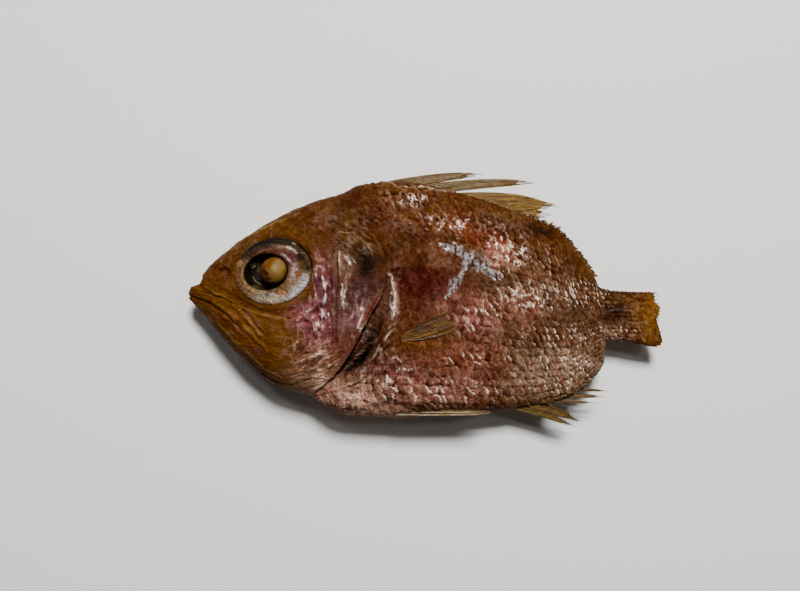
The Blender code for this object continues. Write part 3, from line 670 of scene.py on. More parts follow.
# Most grooves are painted dark, as painted shade in them, and the pale colours on ridges are partly their own
# pale colour and partly painted highlight
# line, width, height in mm (below 0 it is a groove), colour, strength
SKIN_RIDGES = [
    ([(188, 296), (199, 299), (214, 307), (228, 317), (240, 329)], 1.4, -0.50, "#261004", 0.85),
    ([(194, 289), (212, 295), (228, 300), (245, 312), (263, 333)], 1.1, -0.35, "#33190a", 0.8),
    ([(201, 276), (198, 282), (204, 290)], 1.3, -0.45, "#2c1505", 0.8),
    ([(190, 288), (197, 290), (206, 294)], 2.0, 0.30, "#7c4a12", 0.5),
    ([(205, 287), (232, 301), (262, 336)], 2.0, 0.26, "#96682c", 0.6),
    ([(214, 301), (240, 321), (268, 351)], 1.6, 0.24, "#9c6c2c", 0.6),
    ([(222, 290), (243, 300), (262, 312), (290, 318)], 1.3, -0.26, "#33190a", 0.7),
    ([(236, 305), (262, 316), (292, 320), (305, 314)], 1.2, 0.16, "#a87a3c", 0.6),
    ([(230, 318), (246, 334), (262, 352)], 1.0, -0.22, "#4a1e06", 0.7),
    ([(206, 312), (222, 332), (240, 352), (270, 382)], 1.1, -0.20, "#3a200c", 0.5),
    ([(214, 330), (246, 364), (284, 388)], 1.2, -0.16, "#33190a", 0.45),
    ([(218, 322), (240, 346), (264, 369), (282, 378)], 1.2, 0.22, "#7f5a30", 0.55),
    ([(262, 374), (276, 383), (292, 386), (304, 380), (322, 378)], 1.0, -0.20, "#3c220e", 0.6),
    ([(290, 376), (306, 372), (322, 372), (340, 364)], 1.1, -0.26, "#3c2212", 0.6),
    ([(300, 392), (330, 380), (352, 374)], 1.1, -0.24, "#33200f", 0.6),
    ([(314, 396), (332, 393), (350, 387), (367, 380)], 1.0, -0.28, "#40241a", 0.7),
    *((line, 1.0, 0.18, "#cba590", 0.7) for line in THROAT_FOLDS),
    ([(232, 246), (250, 236), (268, 226), (300, 214)], 1.5, 0.16, "#9a7840", 0.5),
    ([(216, 258), (226, 250), (236, 240)], 1.2, 0.14, "#9c7a44", 0.45),
    ([(219, 270), (224, 269), (228, 271), (229, 275), (226, 278)], 2.2, -0.80, "#461402", 1.0),
    ([(206, 268), (214, 262), (222, 262)], 1.2, 0.16, "#8c6428", 0.5),
    ([(250, 268), (243, 256), (256, 244), (282, 236), (300, 242), (312, 262)], 1.5, -0.30, "#241408", 0.75),
    ([(313, 268), (314, 284), (303, 304), (283, 313), (258, 309), (240, 297), (234, 278)],
     1.4, -0.24, "#3c1e0a", 0.7),
    ([(306, 240), (318, 258), (322, 282), (316, 306), (300, 320)], 1.8, 0.16, "#7a4a2a", 0.4),
    ([(337, 257), (337.5, 290), (336, 330), (337, 350)], 1.1, -0.40, "#2c1208", 0.85),
    ([(340.5, 252), (339.5, 262), (339.8, 274)], 1.3, 0.40, "#e2d4c4", 0.85),
    ([(341.5, 284), (343, 297), (344.5, 310)], 1.5, 0.40, "#dccabc", 0.8),
    ([(345.5, 257), (348, 261), (350, 265)], 1.6, 0.34, "#dcd8d4", 0.85),
    ([(352, 259), (355, 263)], 0.9, 0.25, "#c9b79c", 0.7),
    ([(344, 310), (341, 335), (336, 352), (313, 371)], 1.6, 0.20, "#7c5a3c", 0.5),
    ([(333, 250), (330, 275), (333, 300), (332, 330)], 1.1, -0.24, "#3c1c18", 0.7),
    ([(323, 282), (325, 290)], 1.6, 0.34, "#d9bccc", 0.8),
    ([(326, 296), (323.5, 305)], 1.9, 0.34, "#cfc0d8", 0.85),
    ([(321, 309), (326, 318)], 1.4, 0.30, "#d9bccc", 0.75),
    ([(293, 309), (301, 315), (307, 311)], 2.2, -0.24, "#6e1020", 0.75),
    ([(302, 319), (308, 325), (315, 321)], 2.4, -0.24, "#6e1020", 0.75),
    ([(314, 310), (319, 317), (317, 325)], 2.0, -0.22, "#6e1020", 0.7),
    ([(330, 308), (331.5, 322), (329, 336)], 1.8, -0.22, "#6a101c", 0.7),
    ([(309, 334), (317, 340), (325, 337)], 1.9, -0.20, "#6a1420", 0.6),
    ([(320, 268), (324, 271)], 1.6, 0.26, "#d2acc4", 0.8),
    ([(328, 312), (330, 322)], 1.0, 0.26, "#d8bcb8", 0.7),
    ([(386, 287), (378, 299), (370, 312), (362, 326), (350, 342)], 1.1, -0.30, "#5a1208", 0.9),
    ([(381, 291), (373, 304), (365, 319), (356, 332)], 1.0, 0.22, "#8a3a34", 0.7),
    ([(365, 309), (361, 320), (358, 329)], 1.2, 0.32, "#dcb6b4", 0.75),
    ([(355, 298), (357, 308), (360, 316)], 1.0, 0.25, "#c4a08c", 0.6),
    ([(340, 232), (352, 234), (366, 244), (374, 258)], 1.4, 0.24, "#94784e", 0.6),
    ([(346, 227), (360, 231), (370, 240)], 1.1, 0.20, "#8e6e48", 0.55),
    ([(352, 225), (372, 238), (380, 256)], 1.4, -0.26, "#2c180a", 0.7),
    ([(307, 352), (318, 346), (330, 340)], 1.6, 0.30, "#b88878", 0.7),
    ([(296, 364), (312, 356), (326, 350)], 1.7, 0.30, "#c49a86", 0.75),
    ([(310, 370), (320, 362), (331, 355)], 1.5, 0.30, "#c09684", 0.7),
    ([(316, 378), (330, 366), (340, 358)], 1.0, 0.22, "#b8907c", 0.5),
    ([(388, 274), (392, 277), (394, 286), (395.5, 298), (394, 310), (392, 320)],
     2.4, 0.42, "#d8b8a8", 0.85),
    ([(391, 300), (392.5, 308), (393, 316)], 1.2, 0.30, "#c9d0e0", 0.8),
    ([(387, 329), (391, 326), (396, 324)], 1.2, 0.35, "#c4ac94", 0.7),
    ([(393, 329), (388, 334), (383, 341)], 1.8, 0.42, "#d0bfa8", 0.8),
    ([(379, 345), (376, 352), (371, 361)], 1.6, 0.36, "#a89a84", 0.75),
    ([(378, 352), (381, 349), (383, 352)], 1.0, 0.30, "#c4bcae", 0.8),
    ([(385, 349), (380, 360), (372, 372), (364, 382)], 1.2, -0.40, "#33100a", 0.85),
    ([(388, 360), (396, 357), (402, 363)], 1.1, 0.26, "#d8b0ac", 0.7),
    ([(390, 271), (397, 269), (408, 270)], 0.9, -0.30, "#33080a", 0.85),
    ([(388, 268), (396, 266), (410, 265)], 1.0, 0.15, "#8a4a30", 0.6),
    # Near-black grooves of the gill slit: painted shade in its opening
    ([(374, 336), (377, 331), (379, 327)], 1.5, -0.80, "#040201", 1.0),
    ([(366.3, 353), (360, 358), (354, 365), (346, 371)], 3.0, -1.00, "#030101", 1.0),
    ([(380, 318), (377, 330), (368, 348)], 2.0, -0.45, "#20120a", 0.8),
    ([(385, 353), (376, 368), (366, 380), (356, 388)], 1.6, 0.26, "#8a6a58", 0.6),
    ([(446, 222), (470, 229), (495, 241), (528, 258), (560, 280), (592, 292), (625, 300)],
     1.1, 0.14, "#9c7c5c", 0.3),
    ([(400, 186), (420, 187), (440, 190), (465, 193)], 1.0, 0.24, "#d4c2a0", 0.75),
    ([(372, 180), (392, 184), (404, 190)], 1.0, 0.20, "#c0a47c", 0.6),
    ([(463, 323), (462, 342)], 1.6, -0.45, "#3c0300", 0.95),
    ([(411, 338), (430, 331), (447, 328)], 1.2, -0.30, "#241004", 0.8),
    ([(402, 340), (420, 346), (445, 345)], 1.3, 0.18, "#96641c", 0.6),
    ([(400, 352), (424, 354), (452, 348)], 1.1, -0.26, "#3c2006", 0.6),
    ([(596, 300), (612, 304), (630, 300), (650, 292)], 2.0, 0.16, "#7a5420", 0.5),
    ([(608, 312), (618, 309), (630, 312)], 1.4, 0.22, "#8c8474", 0.5),
    ([(548, 222), (562, 232), (576, 250), (592, 274)], 2.0, 0.15, "#8a6434", 0.5),
    ([(588, 284), (604, 291), (624, 293.5), (646, 294)], 1.6, -0.10, "#2c0a04", 0.8),
    ([(402, 200), (402, 207)], 2.4, 0.30, "#d8c8c0", 0.8),
    ([(411, 197), (412, 203)], 2.2, 0.30, "#d4b8b8", 0.8),
]
# Where the skin tore, a crust of dried silver lies, broken into flakes
SILVER_CRUST = [
    ([(443, 246), (453, 249), (464, 254), (474, 262), (486, 270), (502, 277)], 5.6, 0.30, 1.0),
    ([(467, 262), (461, 272), (455, 284), (447, 298)], 2.9, 0.25, 0.95),
    ([(470, 250), (482, 256), (490, 262)], 2.6, 0.20, 0.5),
]
print(len(SKIN_RIDGES), "ridges and grooves")

# %% [markdown]
# ## Glinting places
#
# Where the skin is silvery or greasy it breaks the light into many small sparks: gloss, and
# pale painted highlights on the crests. Each place is an ellipse in the picture, with the direction
# of its creases, their size, how sharp they stand and how pale they are painted.

# %% Creased and sparkling places
# place, radii, crease direction, crease length and width in pixels, height in mm, paleness of
# the painted highlight on the crests
SKIN_CREASES = [
    ((322, 302), (12, 46), 84, (9, 2.6), 0.50, 0.75),
    ((312, 324), (18, 22), 60, (7, 2.8), 0.45, 0.60),
    ((301, 318), (16, 14), 30, (7, 2.6), 0.40, 0.45),
    ((308, 348), (22, 14), -35, (9, 2.6), 0.40, 0.55),
    ((318, 362), (20, 14), -30, (12, 2.8), 0.50, 0.75),
    ((345, 283), (6, 34), 88, (12, 2.4), 0.35, 0.60),
    ((360, 318), (12, 26), -62, (9, 2.6), 0.42, 0.60),
    ((366, 268), (13, 22), 8, (16, 2.4), 0.26, 0.0),
    ((356, 243), (22, 14), 40, (8, 2.8), 0.36, 0.30),
    ((332, 226), (28, 14), 20, (10, 3.0), 0.28, 0.20),
    ((235, 262), (34, 28), -35, (12, 3.2), 0.20, 0.10),
    ((245, 325), (46, 14), 40, (20, 2.8), 0.28, 0.14),
    ((275, 345), (38, 24), 25, (22, 3.6), 0.16, 0.05),
    ((330, 380), (40, 11), -18, (22, 2.6), 0.34, 0.16),
    ((240, 235), (60, 12), -38, (16, 3.0), 0.22, 0.12),
    ((300, 212), (44, 10), -28, (14, 3.0), 0.26, 0.12),
    ((408, 197), (24, 10), 80, (5, 3.0), 0.45, 0.65),
    ((395, 296), (6, 28), 60, (6, 2.2), 0.42, 0.70),
    ((384, 346), (11, 18), -60, (10, 2.6), 0.40, 0.45),
    ((392, 376), (36, 12), 80, (6, 2.8), 0.42, 0.90),
    ((340, 400), (30, 9), 72, (9, 2.6), 0.36, 0.35),
    ((475, 260), (28, 14), 60, (6, 2.6), 0.40, 0.40),
    ((507, 252), (20, 22), 84, (6, 2.8), 0.42, 0.90),
    ((535, 298), (30, 12), 70, (5, 2.2), 0.45, 0.90),
    ((455, 224), (50, 9), 110, (4, 1.8), 0.36, 0.75),
    ((380, 214), (30, 14), 30, (6, 2.2), 0.36, 0.30),
    ((448, 243), (16, 8), 30, (4, 2.2), 0.40, 0.95),
    ((440, 320), (60, 26), 78, (14, 3.2), 0.22, 0.06),
    ((450, 228), (110, 24), 60, (7, 2.8), 0.26, 0.12),
    ((420, 282), (36, 30), 82, (9, 3.0), 0.24, 0.06),
    ((640, 315), (26, 24), 10, (12, 2.6), 0.28, 0.10),
    ((530, 295), (30, 14), 75, (6, 2.8), 0.34, 0.50),
    ((472, 325), (20, 16), 86, (8, 2.4), 0.34, 0.50),
    ((566, 270), (36, 24), 60, (7, 3.0), 0.26, 0.12),
    ((500, 345), (60, 20), 84, (9, 2.8), 0.22, 0.14),
]
# place, radii, how strongly the free edges of the scales shine, as gloss and as painted highlight
SCALE_SHINE = [
    ((440, 392), (90, 14), 0.70),
    ((505, 255), (24, 26), 0.75),
    ((528, 296), (38, 15), 1.00),
    ((475, 330), (24, 12), 0.55),
    ((560, 372), (46, 22), 0.90),
    ((580, 292), (38, 16), 0.85),
    ((614, 332), (26, 7), 0.90),
    ((440, 222), (60, 10), 0.55),
    ((410, 200), (24, 10), 0.60),
    ((545, 262), (26, 22), 0.45),
    ((560, 338), (50, 16), 0.60),
    ((500, 352), (40, 14), 0.35),
    ((645, 335), (8, 6), 0.70),
    ((480, 312), (26, 14), 0.80),
    ((470, 360), (32, 10), 0.60),
]
# Here the scales are rubbed off and the skin is nearly smooth: place and radii
RUBBED_SMOOTH = [((398, 238), (48, 22)), ((428, 284), (42, 26)), ((428, 340), (40, 16)),
                 ((470, 222), (30, 10))]
print(len(SKIN_CREASES), "creased places and", len(SCALE_SHINE), "places with shining scales")

# %% The marks brushed on
def crease_marks(pixels, places, seed):
    """Sum of the creased places: relief in mm, and paleness for each point, which is painted on as
    highlight and also makes gloss. Only the crests are pale, and only here and there along them."""
    height, pale = np.zeros(pixels.shape[:-1]), np.zeros(pixels.shape[:-1])
    wander = 5 * wandering(pixels, 8, 2, (65, 67))
    for number, (centre, radii, angle, size, tall, whiteness) in enumerate(places):
        within = spot(pixels, centre, radii, 0, 1.6)
        fold = creases(pixels + wander, angle, *size, seed + 7 * number)
        here = smooth_step(0.40, 0.60, value_noise(pixels, 3.2, seed + 90 + number))
        crest = smooth_step(0.74, 0.96, fold) * here
        height += within * tall * (fold ** 2 - 0.45)
        pale = np.maximum(pale, within ** 0.7 * whiteness * crest)
    return height, pale


def ridge_marks(pixels, ridges, colour):
    """The ridges' relief in mm, the colour with their paint on it, and their gloss."""
    height, gloss = np.zeros(pixels.shape[:-1]), np.zeros(pixels.shape[:-1])
    broken = smooth_step(0.35, 0.65, value_noise(pixels, 2.4, 91))
    wander = 2.2 * wandering(pixels, 6, 1, (93, 95))
    for line, width, tall, paint, strength in ridges:
        mark = stroke(pixels + wander, line, width)
        height += tall * mark
        # Grooves take their paint more strongly; in most of them it is dark, as painted shade
        covered = strength * mark ** 1.5 * (0.35 + 0.5 * broken if tall > 0 else 0.8)
        colour = mixed(colour, covered, paint)
        pale = float(smooth_step(0.20, 0.60, linear_from_hex(paint).mean()))
        gloss = np.maximum(gloss, pale * mark * (tall > 0) * (0.45 + 0.35 * broken))
    return height, colour, gloss


def crust_marks(pixels, crusts):
    """Flakes along a scar: cells of noise, each with its own height, and dark cracks between.
    Gives the relief, the flakes' cover and the cracks' depth of colour."""
    distance, number = nearest_fleck(pixels, 3.4, 47)
    flake = 1 - smooth_step(0.40, 0.56, distance)
    height, cover, crack = (np.zeros(pixels.shape[:-1]) for _ in range(3))
    wander = 8 * wandering(pixels, 9, 3, (51, 53))
    for line, width, tall, strength in crusts:
        mark = stroke(pixels + wander, line, width)
        height += tall * mark * flake * number
        cover = np.maximum(cover, strength * smooth_step(0.12, 0.5, mark * flake) * (0.4 + 0.6 * number))
        crack = np.maximum(crack, 0.95 * strength * smooth_step(0.2, 0.6, mark) * (1 - flake))
    return height, cover, crack


def stained(pixels, base, stains, unevenness=18):
    """The base colour with every stain soaked into it, each with an uneven, wandering rim."""
    colour = np.broadcast_to(linear_from_hex(base), (*pixels.shape[:-1], 3)).copy()
    wander = unevenness * wandering(pixels, 14, 3, (61, 71))
    for centre, radii, angle, paint, strength in stains:
        colour = mixed(colour, strength * spot(pixels + wander, centre, radii, angle, 1.5), paint)
    return colour


# %% [markdown]
# ## Smoke, soot, blood, and painted light and shade
#
# Every surface mirrors some white light, so paint that is right in a picture looks grey and pale
# under lamps. All colours are therefore made stronger and darker first. Then come the blotches
# that smoke and blood leave, the painted shade that darkens the back, and last the marks. The
# bottoms of folds are painted darker, as painted shade, and their crests paler, as painted
# highlights, so that colour and relief agree.

# %% How deep the colours are
# The lamps and the picture's contrast grey a colour and lift it, so it is painted stronger and
# darker than it looks: this much more saturated, and this share of the brightness
RICHNESS = 1.12
SKIN_DEPTH = 0.57
# How fast red, green and blue darken under soot and under painted shade, and the tint of dry skin
# and of painted highlights
SOOT_AND_SHADE_POWERS = np.array([0.85, 1.15, 1.25])
DRY_AND_HIGHLIGHT_TINT = np.array([1.4, 1.0, 0.8])


def enriched(colour, depth=SKIN_DEPTH):
    """Colours pushed away from their own grey, and darkened."""
    grey = colour.mean(-1, keepdims=True)
    return np.maximum(grey + RICHNESS * (colour - grey), 0.0004) * depth


def shaded(colour, shade):
    """Darker and redder where shade is below 1. Above 1 it is lighter and paler, as dry skin is.
    Used for the blotches of smoking, and for painted shade in hollows and painted highlight on crests.
    """
    shade = np.clip(shade, 0.15, 2.4)[..., None]
    pale = colour.mean(-1, keepdims=True) * DRY_AND_HIGHLIGHT_TINT
    dry = np.maximum(shade - 1, 0) * (0.4 * colour + 0.6 * pale)
    return colour * np.minimum(shade, 1) ** SOOT_AND_SHADE_POWERS + dry


# %% Blotches, and all marks together
# The face's calm skin ends at this pixel column, and turns into the trunk's over this many
FACE_ENDS, FACE_FADE = 320, 35
# How much darker the back is painted, as painted shade, in red, green and blue
BACK_PAINTED_SHADE = np.array([0.20, 0.27, 0.48])


def on_face(pixels):
    """1 on the face, 0 behind it."""
    return 1 - smooth_step(FACE_ENDS - FACE_FADE, FACE_ENDS, pixels[..., 0])


def mottled(pixels, points, colour, seed):
    """Smoke and blood under the skin, and painted shade on the back. The trunk has blotches at
    three sizes and upright streaks, and some blotches are red. The face is calmer, with long
    streaks that follow the jaw. The back is painted darker than the flanks, as painted shade."""
    face = on_face(pixels)
    broad = layered_noise(points, 3.2, 4, seed)
    fine = layered_noise(points, 0.8, 2, seed + 9)
    rough = (broad - 0.5) + 0.3 * (fine - 0.5) + 0.6 * (creases(pixels, 80, 12, 2.6, seed + 30) - 0.5)
    calm = 0.7 * (broad - 0.5) + 0.5 * (creases(pixels, 36, 34, 2.6, seed + 80) - 0.5)
    colour = shaded(colour, 1 + rough + face * (calm - rough))
    redness = smooth_step(0.52, 0.75, layered_noise(points, 2.0, 3, seed + 17)) * (1 - face)
    back, belly = smooth_line(BACK_LINE, points[..., 0]), smooth_line(BELLY_LINE, points[..., 0])
    top = smooth_step(0.60, 0.88, (points[..., 1] - belly) / (back - belly))
    # The face a little lighter, and the back darker as painted shade
    face_tone_and_back_shade = 1 + 0.12 * face[..., None] - BACK_PAINTED_SHADE * top[..., None]
    return colour * face_tone_and_back_shade * (1 - redness[..., None] * np.array([0.0, 0.25, 0.25]))


def weathered(points, pixels, seed):
    """What the marks give the skin at these points: colour, relief in mm and gloss. Folds are
    painted darker in their bottoms, as painted shade, and paler on their crests, as painted highlight."""
    colour = enriched(mottled(pixels, points, stained(pixels, SKIN_BASE, SKIN_STAINS), seed))
    fold, pale = crease_marks(pixels, SKIN_CREASES, 200)
    grain = layered_noise(points, 0.9, 3, seed + 2) - 0.5
    wrinkle = creases(pixels, 70, 7, 2.4, seed + 60) - 0.6
    face = on_face(pixels)
    relief = fold + (0.18 * grain + 0.20 * wrinkle) * (1 - 0.6 * face)
    # Painted shade in the bottoms of the folds and wrinkles, painted highlight on their crests
    colour = shaded(colour, 1 + 3.3 * relief)
    ridge, colour, gloss = ridge_marks(pixels, SKIN_RIDGES, colour)
    # Painted highlights on the crests of the creased places
    colour = mixed(colour, 0.25 * pale, PALE_SKIN_AND_GLINT)
    crust, cover, crack = crust_marks(pixels, SILVER_CRUST)
    colour = mixed(mixed(colour, crack, CRACK_DARK), cover, SILVER)
    patch = smooth_step(0.62, 0.74, layered_noise(pixels, 7, 3, 97))
    gloss = np.maximum.reduce([0.85 * gloss, 0.85 * pale, 0.25 * patch, 0.3 * cover])
    # Towards the rims the marks would be drawn out into long streaks, so they fade there
    flank = smooth_step(0.5, 4.0, np.abs(points[..., 2] - smooth_line(MID_HEIGHT, points[..., 0])))
    return colour, relief + ridge + crust, gloss * (0.25 + 0.75 * flank)


# %% [markdown]
# ## The head
#
# The head's skin runs from the lips to the free edge of the gill cover, wraps round that edge
# and ends inside the trunk, as on the solid. Its rows lie less than a fifth of a millimetre
# apart, which is fine enough for every ridge.

# %% Where the columns of a skin lie
UPPER_COLUMNS, LOWER_COLUMNS = 208, 76


def column_turns():
    """Turns of the section for each column: closer together on the flank that is seen. Even
    steps of turn crowd at the rims and even steps of height starve them, so both are mixed."""
    halves = []
    for count, start in ((UPPER_COLUMNS, 0.0), (LOWER_COLUMNS, math.pi)):
        q = np.arange(count) / count
        halves.append(start + 0.55 * np.arccos(1 - 2 * q) + 0.45 * math.pi * q)
    return np.concatenate(halves)


TURNS = column_turns()
EDGE_X = gill_edge_x(TURNS)

# %% The eyes' place, shared by the skin and the eyes
EYE_AT = (-40.0, 6.05)
EYE_RADII = (10.5, 8.95)


def eye_frame(up):
    """Centre of an eye on the upper (1) or lower (-1) flank, and axes whose last leans out."""
    x, y = EYE_AT
    step = 2.0
    slope_x = (flank_height(x + step, y) - flank_height(x - step, y)) / (2 * step)
    slope_y = (flank_height(x, y + step) - flank_height(x, y - step)) / (2 * step)
    out = np.array([-slope_x, -slope_y, 1.0])
    out /= np.linalg.norm(out)
    side = np.array([1.0, 0, 0]) - out * out[0]
    side /= np.linalg.norm(side)
    height = flank_height(x, y)
    if up < 0:
        height = 2 * smooth_line(MID_HEIGHT, x) - height
        out, side = out * (1, 1, -1), side * (1, 1, -1)
    # The second axis points to the back on both sides
    return np.array([x, y, height]), np.stack([side, np.cross(out, side) * up, out])


def eye_reach(points):
    """How far points are from the eye's middle, as a share of the eye's ring."""
    reach = np.full(points.shape[:-1], 9.0)
    for up in (1, -1):
        centre, axes = eye_frame(up)
        local = (points - centre) @ axes.T
        same_side = (points[..., 2] - smooth_line(MID_HEIGHT, points[..., 0])) * up > 1.5
        this = np.hypot(local[..., 0] / EYE_RADII[0], local[..., 1] / EYE_RADII[1])
        reach = np.where(same_side, this, reach)
    return reach


# %% The head's skin
# Rows from the lips to the cover's edge, over the rounded lips, and round the edge
HEAD_ROWS, CAP_ROWS, LIP_ROWS = 300, 7, 9
SOCKET_DEPTH = 5.6
# The cover's last rows inside the trunk: how far before its edge, how deep, how high over the floor
COVER_INSIDE = ((1.5, 2.2, 2.4), (3.0, COVER_TUCK, COVER_TUCK))
# Colours of painted shade in the gap round the eye, dark where it stands open and brown where
# the skin meets the ring, and the colour of what lies inside the trunk
SOCKET_SHADE_DARK, SOCKET_SHADE_BROWN, INSIDE_DARK = "#120a05", "#4c3018", "#140c08"


def head_rows():
    """Rows of points from the rounded lips to the gill cover's free edge and round it."""
    rows = []
    first = body_point(np.full_like(TURNS, NOSE_X), TURNS, smooth_line(HEAD_PROUD, 0.0))
    middle = first.mean(0)
    for angle in np.linspace(math.pi / 2, 0, CAP_ROWS, endpoint=False):
        rows.append(middle + (first - middle) * math.cos(angle * 0.97) - [NOSE_CAP * math.sin(angle), 0, 0])
    for share in np.linspace(0, 1, HEAD_ROWS):
        x = NOSE_X + (EDGE_X - NOSE_X) * share
        proud = smooth_line(HEAD_PROUD, body_point(x, TURNS)[:, 1])
        rows.append(body_point(x, TURNS, proud))
    for angle in np.linspace(0, math.pi, LIP_ROWS)[1:]:
        x = EDGE_X + 0.3 * math.sin(angle)
        depth = proud - COVER_EDGE / 2 * (1 - math.cos(angle))
        rows.append(body_point(x, TURNS, depth, rest=COVER_EDGE * (angle > 3)))
    for before, deep, rest in COVER_INSIDE:
        rows.append(body_point(EDGE_X - before, TURNS, -deep, rest=rest))
    return np.array(rows)


def make_head_skin():
    """Weathers the head's grid, sinks its eye sockets and makes it a piece."""
    points = head_rows()
    normal = grid_normals(points)
    pixels = seen_at(points)
    inside = np.zeros(points.shape[:2])
    inside[-2:] = 1
    reach = eye_reach(points)
    away = smooth_step(1.05, 1.35, reach)

    colour, relief, gloss = weathered(points, pixels, 5)
    relief = relief * (0.3 + 0.7 * away)
    orbit = 0.22 * np.exp(-((reach - 1.10) / 0.06) ** 2)
    # Above and behind the eye a dark gap stands open, below and before it the skin meets the ring
    low = np.maximum(smooth_step(-1, 3, EYE_AT[1] - points[..., 1]),
                     smooth_step(5, 8, EYE_AT[0] - points[..., 0]))
    socket = -SOCKET_DEPTH * (1 - smooth_step(0.90 - 0.04 * low, 1.02 - 0.045 * low, reach))
    relief = (relief * smooth_step(0.95, 1.1, reach) + orbit + socket) * (1 - inside)
    points = points + normal * relief[..., None]
    points[..., 2] = np.maximum(points[..., 2], 0.0)
    rim = 1 - smooth_step(0.97, 1.03, reach)
    # Painted shade in the gap round the eye: dark where it stands open, brown where the skin meets the ring
    colour = mixed(mixed(colour, rim * (1 - low), SOCKET_SHADE_DARK), rim * low, SOCKET_SHADE_BROWN)
    colour = mixed(colour, inside, INSIDE_DARK)
    make_piece("head_skin", [closed_grid(points, colour, gloss)], face_material)


make_head_skin()

# %% [markdown]
# ## The trunk
#
# The trunk's skin begins inside the head and sinks behind the gill cover, so that the cover's
# edge stands free as it does on the fish. Its scales come from the field above. Close to the
# back's rear rim the skin is fin membrane and has no scales.

# %% The trunk's skin
TRUNK_ROWS = 344
# A scale's free edge stands up this far
SCALE_LIFT = 0.48
# How far ahead of the cover's edge the skin starts, and over which distance its rows stop
# following that edge
COVER_LAP = 4.5
FOLLOWING = (8, 36)
# The scales begin at these distances behind the cover and end at these places before the tail
SCALES_BEGIN, SCALES_END = (4.0, 9.0), (56, 60)
# Here the back's rear rim turns into fin membrane
MEMBRANE_FROM = (24, 34)
# The cut end of the tail: height in the picture, and how far it reaches past the nominal end
TAIL_CUT = [(-11.8, -1.4), (-10.8, -0.1), (-9.6, 0.35), (-8.2, 0.0), (-6.8, -1.2), (-6.0, -2.3), (-5.3, -1.6),
            (-4.4, 0.1), (-2.6, -0.1), (-0.6, -0.8), (1.8, -1.6)]
# The cut's small teeth, and where the rows start to follow it
TAIL_TEETH, TAIL_FROM = 1.6, 54
# Its lower lobe spreads this far below the solid's outline, between these places along the fish and
# below these heights
TAIL_SPREAD = 1.8
LOBE_ALONG, LOBE_BELOW = (50, 60), (-4, -11)


def trunk_offset(behind, y):
    """The trunk's relief by its distance behind the gill cover: a sunk band, then a ridge."""
    sink = smooth_line(GILL_SINK, y)
    band = 1 - smooth_step(SINK_REACH - 2.6, SINK_REACH, behind)
    ridge = np.exp(-((behind - SINK_REACH - 0.6) / 1.3) ** 2) * smooth_step(0.6, 1.6, sink)
    # Low down the throat's tissue swells up to the edge and closes the slit
    throat = 0.5 * np.exp(-((behind - 0.9) / 0.8) ** 2) * smooth_step(-20, -25, y)
    return SHOULDER_RIDGE * ridge - sink * band + throat


def trunk_rows():
    """Rows from inside the gill covers to the cut tail, which follow the cover's edge at first."""
    nominal = float(EDGE_X.max())
    end_y = body_point(np.full_like(TURNS, TAIL_X), TURNS)[:, 1]
    teeth = layered_noise(np.stack([end_y, 0 * end_y], -1), 0.8, 3, 33) - 0.5
    ragged = smooth_line(TAIL_CUT, end_y) + TAIL_TEETH * teeth
    rows = []
    for step in np.linspace(-COVER_LAP, TAIL_X - nominal, TRUNK_ROWS):
        fade = 1 - smooth_step(*FOLLOWING, step)
        tail = smooth_step(TAIL_FROM - nominal, TAIL_X - nominal, step)
        x = nominal + step + (EDGE_X - nominal) * fade + ragged * tail
        behind = x - EDGE_X
        offset = trunk_offset(behind, body_point(x, TURNS)[:, 1])
        row = body_point(x, TURNS, offset, rest=1.6 * (1 - smooth_step(0.5, 2.5, behind[0])))
        row[:, 1] -= TAIL_SPREAD * smooth_step(*LOBE_ALONG, x) * smooth_step(*LOBE_BELOW, row[:, 1])
        rows.append(row)
    return np.array(rows)


# %% Scales on the trunk
def make_trunk_skin():
    """Weathers the trunk's grid, lays scales on it and makes it a piece."""
    points = trunk_rows()
    normal = grid_normals(points)
    pixels = seen_at(points)
    x, y = points[..., 0], points[..., 1]
    behind = x - EDGE_X
    scaled = smooth_step(*SCALES_BEGIN, behind) * (1 - smooth_step(*SCALES_END, x))
    membrane = smooth_step(-1.0, 1.5, y - smooth_line(ROW_BACK, x)) * smooth_step(*MEMBRANE_FROM, x)
    scaled = scaled * (1 - 0.85 * membrane)
    scaled = scaled * (1 - 0.75 * np.maximum.reduce([spot(pixels, *place) for place in RUBBED_SMOOTH]))

    colour, relief, gloss = weathered(points, pixels, 25)
    rise, glint_tick, gap, number = scale_field(x, y)
    shine = 0.05 + np.maximum.reduce([power * spot(pixels, centre, radii, 0, 1.5)
                                      for centre, radii, power in SCALE_SHINE])
    # Only some scales catch the light, chosen by a second number drawn from the scale's own
    lucky = smooth_step(0.30, 0.80, lattice_value(np.floor(number[..., None] * 997), 5))
    glint_tick = glint_tick * scaled * lucky * np.clip(1.35 * shine, 0, 1)
    seen = scaled * (0.35 + 0.65 * smooth_step(0.0, 0.5, shine))
    # Each scale gets its own tone, and is painted lighter towards its free edge and darker at the gap between
    # rows: painted highlight and painted shade
    colour = shaded(colour, 0.97 + seen * (0.7 * (number - 0.5) + 1.9 * (rise - 0.6) - 0.45 * gap))
    # Painted highlights on the bright ticks of the scales' free edges
    colour = mixed(colour, 0.35 * glint_tick, PALE_SKIN_AND_GLINT)
    gloss = np.maximum.reduce([gloss, 0.95 * glint_tick,
                               0.24 * seen * np.clip(1.5 * shine, 0, 1) * smooth_step(0.4, 0.8, rise)])
    loose = 0.35 + 1.1 * number
    relief = relief + SCALE_LIFT * scaled * loose * (rise - 0.6 - 0.2 * gap)
    shown = smooth_step(-1.0, 0.5, behind)
    points = points + normal * (relief * shown)[..., None]
    points[..., 2] = np.maximum(points[..., 2], 0.0)
    make_piece("trunk_skin", [closed_grid(points, colour, gloss)], skin_material)


make_trunk_skin()

